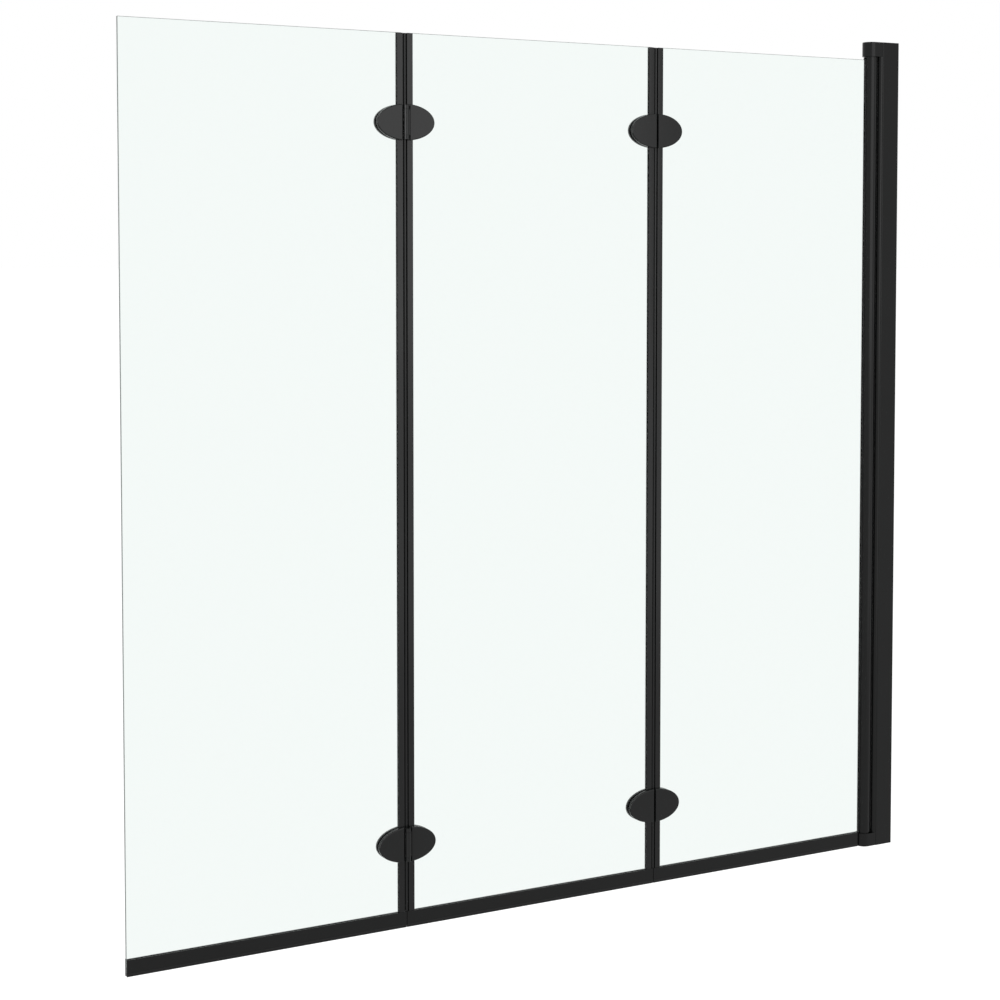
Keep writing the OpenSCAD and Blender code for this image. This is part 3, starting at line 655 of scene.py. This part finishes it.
# %% [markdown]
# ## The panes
#
# Each pane is a sheet of 4 mm glass with two holes beside each seam, for the clamp screws. The
# outline and the circles are filled together and pulled to the thickness. The edges are ground,
# with a small flat along each arris. The right pane has a notch over the nose of the bottom cap.
# The narrow faces get the ground finish, and only the two large ones are clear.

# %% Model the panes
HOLE_R, ARRIS, NOTCH_GAP = 6.0, 0.35, 0.1
CLAMP_U = 27.0
FACING = 0.99  # the large faces' normals are closer to Y than this
hinge_zs = {}
for place in ("lower", "upper"):
    plate_low, plate_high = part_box(f"outer_{place}_left_front_plate")
    hinge_zs[place] = (plate_low.z + plate_high.z) / 2


def pane(node, hole_xs, notch=None):
    """A pane with holes at the given places, and with its lower right corner cut out."""
    low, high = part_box(node)
    outline = [(low.x, low.z), (high.x, low.z), (high.x, high.z), (low.x, high.z)]
    if notch:
        outline[1:2] = [(notch[0], low.z), notch, (high.x, notch[1])]
    bm = bmesh.new()
    corners = [bm.verts.new((x, low.y, z)) for x, z in outline]
    chain(bm, *corners, corners[0])
    for x in hole_xs:
        for z in hinge_zs.values():
            bmesh.ops.create_circle(bm, cap_ends=False, segments=48, radius=HOLE_R * MM,
                                    matrix=Matrix.Translation((x, low.y, z)) @ TURN["y"])
    fill_loops(bm)
    pull(bm, (0, high.y - low.y, 0))
    soften(bm, ARRIS, 1, 60)
    piece(node + "_pane", bm, node, "toughened_glass", clear_glass, glass_edge,
          second=lambda face: abs(face.normal.y) < FACING)


clamp = CLAMP_U * MM
notch_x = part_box("right_rail")[1].x - NOTCH_GAP * MM
pane("left_glass", [outer_seam_x - clamp])
pane("middle_glass", [outer_seam_x + clamp, inner_seam_x - clamp])
pane("right_glass", [inner_seam_x + clamp], (notch_x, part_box("post_gasket")[0].z))

# %% [markdown]
# ## The bottom rails
#
# One black rail closes the bottom edge of each pane. Its section has a deep slot for the glass
# on top and a T-slot for the wiper below. Half of it is drawn and mirrored, because the two
# sides must be the same, and the face is pulled along the pane.

# %% Model the rails
GLASS_SLOT_HALF, WIPER_SLOT_HALF, MOUTH_HALF = 2.2, 2.2, 1.2
RAIL_WEB, RAIL_LIP = 1.5, 1.5
rail_half = rail_high.y / MM
rail_top, rail_bottom = rail_high.z / MM, rail_low.z / MM
glass_bottom = glass_low.z / MM


def mirrored(points):
    """The other half of a section with a mirror plane at Y = 0, so that both make one loop."""
    return [(-y, z) for y, z in reversed(points)]


RAIL_SECTION = [
    (MOUTH_HALF, rail_bottom), (rail_half, rail_bottom), (rail_half, rail_top),
    (GLASS_SLOT_HALF, rail_top), (GLASS_SLOT_HALF, glass_bottom)]
WIPER_SLOT = [
    (MOUTH_HALF, rail_bottom + RAIL_LIP), (WIPER_SLOT_HALF, rail_bottom + RAIL_LIP),
    (WIPER_SLOT_HALF, glass_bottom - RAIL_WEB)]


for node in ("left_rail", "middle_rail", "right_rail"):
    low, high = box_mm(node)
    slot = WIPER_SLOT[::-1]
    bm = extrusion(RAIL_SECTION + mirrored(RAIL_SECTION) + mirrored(slot) + slot,
                   "yz", low.x, high.x)
    soften(bm, EDGE_BREAK)
    piece(node + "_bar", bm, node, "black_profile", powder_coat)
print("rails:", round(rail_top - rail_bottom, 1), "mm high")

# %% [markdown]
# ## The wipers
#
# A soft profile hangs under each rail and seals against the rim of the bath. It has a foot with
# two fins, a neck between the lips of the rail and a head inside. The foot runs the whole
# length, and the head stops where an end plate's spigot sits, so the two are pulled separately
# and welded.

# %% Model the wipers
FOOT_HALF, SHOULDER, FIN, CREST, FOOT_ROUND = 3.9, 3.15, 0.8, 2.7, 0.18
HEAD_HALF, NECK_HALF, HEAD_LOW, HEAD_TOP, NECK_ROOT = 2.1, 1.1, 6.1, 10.3, 0.4
SPIGOT_ROOM = 9.6
foot_half = [(FOOT_HALF, rail_bottom), (FOOT_HALF, SHOULDER), (FOOT_HALF - FIN, 0),
             (FOOT_HALF - 2 * FIN, 0), (FOOT_HALF / 3, CREST)]
head_half = [(HEAD_HALF, HEAD_TOP), (HEAD_HALF, HEAD_LOW), (NECK_HALF, HEAD_LOW),
             (NECK_HALF, rail_bottom - NECK_ROOT)]


def wiper(node, left_inset, right_inset):
    """A wiper whose head stops short of its ends by the two insets."""
    low, high = box_mm(node)
    foot = extrusion(foot_half + mirrored(foot_half), "yz", low.x, high.x)
    soften(foot, FOOT_ROUND, 2, 20)
    head = extrusion(head_half + mirrored(head_half), "yz", low.x + left_inset,
                     high.x - right_inset)
    piece(node + "_blade", weld(foot, head), node, "black_rubber", wiper_rubber)


wiper("left_wiper", SPIGOT_ROOM, 0)
wiper("middle_wiper", 0, 0)
wiper("right_wiper", 0, SPIGOT_ROOM)
print("wipers:", round(rail_bottom, 1), "mm below the rails")

# %% [markdown]
# ## End plates of the rails
#
# A moulded plate closes each open rail end. The one at the free edge has a slot for the glass.
# The plate is a block with a rounded outer rim, and its spigot pushes into the wiper's slot.

# %% Model the end plates
PLATE_T, PLATE_RIM, SPIGOT, SPIGOT_PLAY = 1.5, 0.5, 8.0, 0.1


def rail_end(node, outer_x, way, with_slot):
    """An end plate with its outer face at a place; way points from there into the rail."""
    inner_x = outer_x + way * PLATE_T
    left, right = sorted((outer_x, inner_x))
    spigot_x = sorted((outer_x + way * PLATE_T / 2, inner_x + way * SPIGOT))
    spigot = block((spigot_x[0], -HEAD_HALF, HEAD_LOW),
                   (spigot_x[1], HEAD_HALF, glass_bottom - RAIL_WEB - SPIGOT_PLAY))
    bm = block((left, -rail_half, rail_bottom), (right, rail_half, rail_top))
    rim = [e for e in bm.edges if all(near(v.co.x, outer_x * MM) for v in e.verts)]
    round_edges(bm, rim, PLATE_RIM, 3)
    bm = weld(bm, spigot)
    if with_slot:
        bm = cut(bm, block((left - OVER, -GLASS_SLOT_HALF, glass_bottom),
                           (right + OVER / 2, GLASS_SLOT_HALF, rail_top + OVER)))
    piece(node + "_plate", bm, node, "black_plastic", moulded_black)


rail_end("left_rail_end_cap", box_mm("left_rail_end_cap")[0].x, 1, True)
rail_end("right_rail_end_cap", box_mm("right_rail_end_cap")[1].x, -1, False)
print("end plates:", made[-2:])

# %% [markdown]
# ## Edge strips at the seams
#
# Each seam has a plain strip on one pane and a strip with a hollow bulb on the other, and the
# bulb nearly closes the gap. Both are a U over the edge of the glass, drawn from eight corners.
# The bulb is a rod that is welded to the face of the U and then bored.

# %% Model the edge strips
STRIP_STAND, STRIP_BASE, STRIP_PLAY, STRIP_ROUND = 3.2, 1.2, 0.1, 0.45
BULB_R, BULB_WALL, BULB_SINK = 2.8, 0.8, 0.3


def strip(node, seam_x, side):
    """A strip on one side of a seam. The one on the right has the bulb."""
    low, high = box_mm(node)
    half = high.y
    face_x = seam_x / MM + side * STRIP_STAND
    lip_x = high.x if side == RIGHT else low.x
    base_x = face_x + side * STRIP_BASE
    inner = GLASS_HALF + STRIP_PLAY
    bm = extrusion([(face_x, -half), (lip_x, -half), (lip_x, -inner), (base_x, -inner),
                    (base_x, inner), (lip_x, inner), (lip_x, half), (face_x, half)],
                   "xy", low.z, high.z)
    round_edges(bm, upright_edges(bm, lambda co: near(abs(co.y), half * MM)), STRIP_ROUND, 3)
    if side == RIGHT:
        middle, tall = (low.z + high.z) / 2, high.z - low.z
        bulb_x = face_x - side * (BULB_R - BULB_SINK)
        bm = weld(bm, rod((bulb_x, 0, middle), "z", BULB_R, tall, segments=40))
        bm = cut(bm, rod((bulb_x, 0, middle), "z", BULB_R - BULB_WALL, tall + 2 * OVER,
                         segments=32))
    piece(node + "_seal", bm, node, "black_rubber", upright_rubber)


strip("left_plain_strip", outer_seam_x, LEFT)
strip("middle_bulb_strip", outer_seam_x, RIGHT)
strip("middle_plain_strip", inner_seam_x, LEFT)
strip("right_bulb_strip", inner_seam_x, RIGHT)
print("strips:", made[-4:])

# %% [markdown]
# ## The oval clamp hinges
#
# Each hinge is four clamp plates, two on either face of the glass. A circle is stretched to the
# oval, a bisecting plane cuts it beside the seam, and the half is pulled to the thickness of
# the plate. The outer rim is rounded. Plates beside the barrel carry knuckles and a low leaf that
# fills the groove beside the barrel, and underneath every plate has a relief for the edge strip.
# The outer seam folds towards the viewer and has its barrel in front. The inner seam has it
# behind.

# %% Half an oval plate
HINGE_L, HINGE_H, PLATE_THICK, RIM_ROUND, SEAM_ROUND = 90.0, 51.2, 5.0, 1.6, 0.4
BARREL_CUT, SEAM_CUT = 6.4, 1.8
PLATE_Y = 2.8
HAIR = 0.01  # so little in from a face that only what lies on the face is beyond it


def half_oval(u0, thick, u1=HINGE_L):
    """Slab with u away from the seam, v up and w away from the glass, in millimetres."""
    bm = bmesh.new()
    bmesh.ops.create_circle(bm, cap_ends=True, segments=144, radius=MM)
    bmesh.ops.scale(bm, verts=bm.verts[:], vec=(HINGE_L / 2, HINGE_H / 2, 1))
    for u, way in ((u0, -1), (u1, 1)):
        bmesh.ops.bisect_plane(bm, geom=bm.verts[:] + bm.edges[:] + bm.faces[:],
                               clear_outer=True, plane_co=(u * MM, 0, 0), plane_no=(way, 0, 0))
    pull(bm, (0, 0, thick * MM))
    return bm


def plate_blank(beside_seam):
    """The plate with its broad round rim and a small one beside the seam."""
    bm = half_oval(beside_seam, PLATE_THICK)
    for beside, radius, steps in ((False, RIM_ROUND, 5), (True, SEAM_ROUND, 2)):
        face_edges = [e for e in bm.edges
                      if all(v.co.z > (PLATE_THICK - HAIR) * MM for v in e.verts)]
        round_edges(bm, [e for e in face_edges if beside == all(
            v.co.x < (beside_seam + HAIR) * MM for v in e.verts)], radius, steps)
    return bm


print("half an oval plate holds", volume_of(plate_blank(SEAM_CUT)), "mm3")


# %% Knuckles with their arms
BARREL_R, BARREL_L, KNUCKLE_GAP, LONG_KNUCKLE = 4.0, 48.0, 0.3, 36.0
KNUCKLE_BREAK, ARM_PLAY, ARM_ROOT = 0.15, 0.1, 1.2
ARM_DROP, LEAF_DROP, LEAF_GAP, LEAF_ROOT = 0.8, 2.2, 0.4, 1.0
AXIS_STAND = 0.2
AXIS_W = PLATE_THICK + AXIS_STAND
END_KNUCKLE = (BARREL_L - LONG_KNUCKLE) / 2 - KNUCKLE_GAP


def knuckle(v0, v1, drop):
    """A rod on the hinge axis and the arm that joins it to the plate."""
    barrel = rod((0, (v0 + v1) / 2, AXIS_W), "y", BARREL_R, v1 - v0, segments=56)
    soften(barrel, KNUCKLE_BREAK, 2, 60)
    arm = block((0, v0 + ARM_PLAY, 0),
                (BARREL_CUT + ARM_ROOT, v1 - ARM_PLAY, PLATE_THICK - drop))
    return [barrel, arm]


def knuckles(pair):
    """The two short knuckles at the ends of the barrel, or the long one between them."""
    end = BARREL_L / 2
    if pair:
        return (knuckle(-end, -end + END_KNUCKLE, LEAF_DROP)
                + knuckle(end - END_KNUCKLE, end, LEAF_DROP))
    return knuckle(-LONG_KNUCKLE / 2, LONG_KNUCKLE / 2, ARM_DROP)


print("knuckles:", LONG_KNUCKLE, "mm and twice", round(END_KNUCKLE, 2), "mm")

# %% [markdown]
# The front plates are threaded from behind, so nothing of a screw shows on the dry side. The
# back plates have a countersunk hole. Every plate is modelled in axes of its own, and then one
# matrix turns and mirrors it into place.

# %% Model the sixteen plates
PIN_BORE_R, RELIEF_U, RELIEF_W = 1.8, 12.8, 1.1
THREAD_R, THREAD_DEEP = 2.55, 4.0
CLEAR_R, SINK_R, SINK_DEEP = 2.6, 4.7, 2.6


def plate_matrix(seam_x, z, side, face):
    """From u, v, w to the frame: u away from the seam, v up, w away from the glass."""
    return Matrix(((side, 0, 0, seam_x), (0, 0, face, face * PLATE_Y * MM), (0, 1, 0, z),
                   (0, 0, 0, 1)))


def clamp_plate(node, seam_x, z, side, face, barrel_face):
    on_barrel = face == barrel_face
    bm = plate_blank(BARREL_CUT if on_barrel else SEAM_CUT)
    if on_barrel:
        leaf = half_oval(BARREL_R + LEAF_GAP, PLATE_THICK - LEAF_DROP, BARREL_CUT + LEAF_ROOT)
        bm = weld(bm, leaf, *knuckles(side == LEFT))
    tools = [block((-OVER, -HINGE_H, -OVER), (RELIEF_U, HINGE_H, RELIEF_W))]
    if on_barrel:
        tools.append(rod((0, 0, AXIS_W), "y", PIN_BORE_R, BARREL_L + 4 * OVER, segments=32))
    if face == FRONT:
        tools.append(rod((CLAMP_U, 0, (THREAD_DEEP - OVER) / 2), "z", THREAD_R,
                         THREAD_DEEP + OVER))
    else:
        tools.append(rod((CLAMP_U, 0, PLATE_THICK / 2), "z", CLEAR_R, PLATE_THICK + 2 * OVER))
        grow = OVER * (SINK_R - CLEAR_R) / SINK_DEEP
        tools.append(rod((CLAMP_U, 0, PLATE_THICK - (SINK_DEEP - OVER) / 2), "z", CLEAR_R,
                         SINK_DEEP + OVER, end_radius=SINK_R + grow))
    bm = cut(bm, *tools)
    bmesh.ops.transform(bm, verts=bm.verts[:], matrix=plate_matrix(seam_x, z, side, face))
    piece(node + "_casting", bm, node, "black_hinge", hinge_coat)


for seam, seam_x, names, barrel_face in (
        ("outer", outer_seam_x, {LEFT: "left", RIGHT: "middle"}, FRONT),
        ("inner", inner_seam_x, {LEFT: "middle", RIGHT: "right"}, BACK)):
    for place, z in hinge_zs.items():
        for side in (LEFT, RIGHT):
            for face, word in ((FRONT, "front"), (BACK, "back")):
                clamp_plate(f"{seam}_{place}_{names[side]}_{word}_plate", seam_x, z, side, face,
                            barrel_face)
print("clamp plates:", sum(name.endswith("casting") for name in made))

# %% [markdown]
# ## Screws and covers
#
# Screws and push-on covers are turned shapes, so a half outline is spun about its axis. The
# socket of a screw is a six-sided rod that is cut out. The clamp screws show from the wet side.
# The screws in the end caps sit deep in their recesses, and the side screws hide under covers.

# %% Turn an outline about an axis
def turned(outline, foot, turn, steps=40):
    """Spin (radius, height) corners in mm about Z, then turn them and set them on a foot."""
    bm = bmesh.new()
    verts = [bm.verts.new((r * MM, 0, h * MM)) for r, h in outline]
    chain(bm, *verts)
    bmesh.ops.spin(bm, geom=verts + bm.edges[:], cent=(0, 0, 0), axis=(0, 0, 1),
                   dvec=(0, 0, 0), angle=math.radians(360), steps=steps, use_merge=True,
                   use_duplicate=False)
    bmesh.ops.remove_doubles(bm, verts=bm.verts[:], dist=CLOSE)
    bmesh.ops.transform(bm, verts=bm.verts[:],
                        matrix=Matrix.Translation(Vector(foot) * MM) @ turn)
    bmesh.ops.recalc_face_normals(bm, faces=bm.faces[:])
    return bm


def together(shells):
    """Put separate shells into one bmesh."""
    bm = bmesh.new()
    for shell in shells:
        mesh = bpy.data.meshes.new("shell")
        shell.to_mesh(mesh)
        shell.free()
        bm.from_mesh(mesh)
        bpy.data.meshes.remove(mesh)
    return bm


trial = turned([(0, 0), (5, 0), (0, 10)], (0, 0, 0), TURN["z"])
print("a turned cone of 10 by 10 mm holds", volume_of(trial), "mm3")

# %% Clamp screws
SCREW_R, HEAD_R, HEAD_H, SOCKET_WIDTH = 2.5, 4.6, 2.6, 3.0
SOCKET_R = SOCKET_WIDTH / 2 / math.cos(math.radians(30))
SOCKET_DEEP = 2 / 3  # of the height of the head
TIP_CUT, HEAD_LAND, HEAD_BREAK = 0.4, 0.25, 0.1
SCREW_BITE = 3.8  # into the front plate
SCREW_TIP = -2 * PLATE_Y - SCREW_BITE


def clamp_screw(x, z):
    """Countersunk screw, drawn from the underside of the back plate."""
    foot = (x / MM, PLATE_Y, z / MM)
    screw = turned([
        (0, SCREW_TIP), (SCREW_R - TIP_CUT, SCREW_TIP), (SCREW_R, SCREW_TIP + TIP_CUT),
        (SCREW_R, PLATE_THICK - HEAD_H), (HEAD_R, PLATE_THICK - HEAD_LAND),
        (HEAD_R, PLATE_THICK - HEAD_BREAK), (HEAD_R - 1.5 * HEAD_BREAK, PLATE_THICK),
        (0, PLATE_THICK)], foot, TURN["y"])
    socket = rod((foot[0], PLATE_Y + PLATE_THICK, foot[2]), "y", SOCKET_R,
                 2 * SOCKET_DEEP * HEAD_H, segments=6)
    return cut(screw, socket)


for node, x in (("right_clamp_screws", inner_seam_x + clamp),
                ("middle_inner_clamp_screws", inner_seam_x - clamp),
                ("middle_outer_clamp_screws", outer_seam_x + clamp),
                ("left_clamp_screws", outer_seam_x - clamp)):
    bm = together([clamp_screw(x, z) for z in hinge_zs.values()])
    piece(node + "_turned", bm, node, "screw_steel", steel)
print("clamp screws in", made[-4:])

# %% Cap screws
CAP_SCREW_R, CAP_HEAD_R, CAP_HEAD_H, CAP_BITE = 1.95, 3.7, 2.4, 16.0
POINT_R, POINT_L = 0.5, 0.8
CROWN = [(1, 0), (1, 0.55), (0.93, 0.82), (0.74, 1), (0, 1)]  # of the head's radius and height
UPSIDE_DOWN = Matrix.Rotation(math.radians(180), 4, "X")


def pan_head(radius, head_r, head_h, length):
    """Half outline of a pan-head screw, from its tip to the crown, with the seat at 0."""
    return [(0, -length), (radius - POINT_R, -length), (radius, -length + POINT_L),
            (radius, 0)] + [(head_r * r, head_h * h) for r, h in CROWN]


def cap_screw(inner_z, outer_z, s):
    """A screw in a cap, in the port on the side s, with its head in the recess."""
    way = 1 if outer_z > inner_z else -1
    seat = outer_z - way * RECESS_DEEP
    length = abs(seat - inner_z) + CAP_BITE
    screw = turned(pan_head(CAP_SCREW_R, CAP_HEAD_R, CAP_HEAD_H, length),
                   (PORT_X, s * PORT_Y, seat), TURN["z"] if way > 0 else UPSIDE_DOWN)
    socket = rod((PORT_X, s * PORT_Y, seat + way * CAP_HEAD_H), "z", CAP_SCREW_R,
                 2 * SOCKET_DEEP * CAP_HEAD_H, segments=6)
    return cut(screw, socket)


bm = together([cap_screw(*faces, s) for s in (-1, 1) for faces in cap_faces.values()])
piece("cap_screws_turned", bm, "cap_screws", "screw_steel", steel)
print("cap screws:", 2 * len(cap_faces))

# %% Side screws and their covers
SIDE_R, SIDE_L, SIDE_HEAD_H = 2.0, 8.0, 2.0
COVER_WALL, COVER_PLAY = 1.2, 0.05

channel_face = box_mm("wall_channel")[1].y
feet = [(side_screw_x, channel_face, z) for z in side_screw_zs]
side_screw = pan_head(SIDE_R, side_head_r, SIDE_HEAD_H, SIDE_L)
bm = together([turned(side_screw, foot, TURN["y"]) for foot in feet])
piece("side_screws_turned", bm, "side_screws", "screw_steel", steel)

bore_r = side_head_r + COVER_PLAY
cover_r = side_head_r + COVER_WALL
cover_h = SIDE_HEAD_H + COVER_WALL
# up the outside, round the rim in four corners, and back down the bore
cover = [(bore_r, 0), (cover_r, 0), (cover_r, SIDE_HEAD_H * 0.9),
         (cover_r - 0.12, SIDE_HEAD_H + 0.15), (side_head_r + 0.25, cover_h - 0.12),
         (side_head_r - 0.3, cover_h), (0, cover_h), (0, SIDE_HEAD_H),
         (bore_r, SIDE_HEAD_H), (bore_r, 0)]
bm = together([turned(cover, foot, TURN["y"], steps=48) for foot in feet])
piece("side_screw_covers_turned", bm, "side_screw_covers", "black_plastic", moulded_black)
print("side screws and covers:", len(feet))

# %% [markdown]
# ## Solids that stay
#
# The bushes, the plugs with their stub pins, the hinge pins and the pads are nearly hidden, and
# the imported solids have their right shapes. They stay, and only get finishes.

# %% Finish the solids that stay
kept = {moulded_black: ("top_bush", "bottom_bush"),
        hinge_coat: ("post_top_plug", "post_bottom_plug", "inner_upper_pin", "inner_lower_pin",
                     "outer_upper_pin", "outer_lower_pin"),
        pad_rubber: ("right_hinge_pads", "middle_inner_hinge_pads", "middle_outer_hinge_pads",
                     "left_hinge_pads")}
for finish, nodes in kept.items():
    for node in nodes:
        mesh = frame["nodes"][node].data
        mesh.materials.clear()
        mesh.materials.append(finish)
print("pieces made:", len(made), "of", len(frame["nodes"]), "nodes")

# %% [markdown]
# ## Floor, world and lamps
#
# The photograph is a cut-out on white. A pale floor lies as low as the floor beside a bath, so
# that no shadow shows in the photograph's view. The floor and the world are white for the
# camera, for gloss and for what is seen through the glass, and dimmer as lights.
#
# Four soft panels light the screen. A tall one in front gives the black faces their brighter
# upper half, and a low one to its right lifts what is low and near the wall. One above lights
# the upper rims. The last one stands on the left and lights only the hinge castings, for the
# light line along their left rims. None of them lights the panes, which would mirror it.

# %% Floor
FLOOR_X, FLOOR_Z, FLOOR_SIZE = -0.65, -0.55, 400.0
FLOOR_GLOW, FLOOR_SHADE = 0.86, 0.6

# matt to lamps, glowing for the camera, and white in gloss and through glass
finish = Finish("pale_floor", {"Roughness": 0.9, "Specular IOR Level": 0.0})
finish.surface(finish.blend(finish.noise(0.5, 1), (0.80, 0.80, 0.80), (0.82, 0.82, 0.82)))
rays = finish.tree.nodes.new("ShaderNodeLightPath").outputs
matt = Wire(finish, finish.shader.outputs[0])
dim = finish.node("ShaderNodeMixShader", {}, {0: FLOOR_SHADE, 2: matt})
glow = finish.node("ShaderNodeEmission", {}, {"Strength": FLOOR_GLOW})
both = finish.node("ShaderNodeAddShader", {}, {0: dim, 1: glow})
camera_mix = finish.node("ShaderNodeMixShader", {}, {
    0: Wire(finish, rays["Is Camera Ray"]), 1: matt, 2: both})
mirror = Wire(finish, rays["Is Glossy Ray"])
either = mirror.maths("MAXIMUM", mirror, Wire(finish, rays["Is Transmission Ray"]))
white = finish.node("ShaderNodeEmission")
last = finish.node("ShaderNodeMixShader", {}, {0: either, 1: camera_mix, 2: white})
finish.feed(finish.tree.nodes["Material Output"].inputs["Surface"], last)

bm = bmesh.new()
bmesh.ops.create_grid(bm, x_segments=1, y_segments=1, size=FLOOR_SIZE / 2,
                      matrix=Matrix.Translation((FLOOR_X, 0, FLOOR_Z)))
floor = mesh_object("floor", bm)
floor.data.materials.append(finish.material)
print("floor:", round(-FLOOR_Z, 2), "m below the rim of the bath")

# %% World
WORLD_LIGHT = 0.45
world = bpy.data.worlds.new("white_room")
bpy.context.scene.world = world
world.use_nodes = True
nodes, links = world.node_tree.nodes, world.node_tree.links
background = nodes["Background"]
background.inputs["Color"].default_value = (1, 1, 1, 1)
rays = nodes.new("ShaderNodeLightPath").outputs
seen = rays["Is Camera Ray"]
for kind in ("Is Glossy Ray", "Is Transmission Ray"):
    either = nodes.new("ShaderNodeMath")
    either.operation = "MAXIMUM"
    links.new(seen, either.inputs[0])
    links.new(rays[kind], either.inputs[1])
    seen = either.outputs[0]
strength = nodes.new("ShaderNodeMapRange")
strength.inputs["To Min"].default_value = WORLD_LIGHT
links.new(seen, strength.inputs["Value"])
links.new(strength.outputs[0], background.inputs["Strength"])
print("world: white where it is seen,", WORLD_LIGHT, "as a light")


# %% Lamps
def pieces_named(ending, collection_name):
    """A collection of the pieces whose names end alike, for light linking."""
    group = bpy.data.collections.new(collection_name)
    for name in made:
        if name.endswith(ending):
            group.objects.link(bpy.data.objects[name])
    return group


def soft_panel(name, middle, target, size, radiance, lit):
    """A rectangular lamp of one radiance, so that its size doesn't change its brightness."""
    light = bpy.data.lights.new(name, "AREA")
    light.shape = "RECTANGLE"
    light.size, light.size_y = size
    light.energy = radiance * math.pi * size[0] * size[1]
    lamp = bpy.data.objects.new(name, light)
    bpy.context.scene.collection.objects.link(lamp)
    lamp.location = middle
    lamp.rotation_euler = (Vector(target) - Vector(middle)).to_track_quat("-Z", "Y").to_euler()
    lamp.light_linking.receiver_collection = lit
    print(name, "of", size[0], "by", size[1], "m, radiance", radiance)


passed_by = pieces_named("_pane", "passed_by")
for entry in passed_by.collection_objects:
    entry.light_linking.link_state = "EXCLUDE"
hinge_castings = pieces_named("_casting", "hinge_castings")
for panel in (
        ("tall_panel", (0.425, -4.5, 1.9), (0.425, 0, 1.9), (4.05, 2.7), 1.75, passed_by),
        ("low_panel", (1.5, -4.5, -0.1), (1.5, 0, -0.1), (3.4, 1.3), 0.75, passed_by),
        ("top_panel", (-2.6, -0.6, 3.6), (-0.8, 0, 0.7), (1.8, 1.8), 6.0, passed_by),
        ("rim_panel", (-4.6, -1.6, 1.2), (-0.7, 0, 0.65), (3.5, 3.5), 4.0, hinge_castings)):
    soft_panel(*panel)

# %% [markdown]
# ## The camera
#
# The camera was fitted to the straight edges of the photograph: it stands to the left of the
# screen at three quarters of its height. The vertical lines of the photograph are nearly
# parallel, which takes an almost level camera whose lens is shifted. The shift stays small enough
# for the other views, which keep it, and a slightly lower aim makes up the rest.

# %% Camera
PHOTO, SENSOR = 1000.0, 36.0  # the picture's width in pixels and the sensor's in millimetres
FOCAL, CENTRE_Y = 2053.04, 362.0  # in pixels
YAW, PITCH = 29.360, 3.023  # to the right and down, in degrees
STAND = (-2.1847, -2.5898, 0.9631)

camera_data = bpy.data.cameras.new("photo_camera")
camera_data.sensor_width = SENSOR
camera_data.lens = FOCAL / PHOTO * SENSOR
camera_data.shift_y = (CENTRE_Y - PHOTO / 2) / PHOTO
camera_data.clip_end = FLOOR_SIZE / 2
camera = bpy.data.objects.new("photo_camera", camera_data)
bpy.context.scene.collection.objects.link(camera)
camera.location = STAND
camera.rotation_euler = (math.radians(90 - PITCH), 0, math.radians(-YAW))
bpy.context.scene.camera = camera
print("camera: lens", round(camera_data.lens, 2), "mm, shift", round(camera_data.shift_y, 4))

# %% Close the scene
bpy.context.scene.view_settings.view_transform = "Standard"
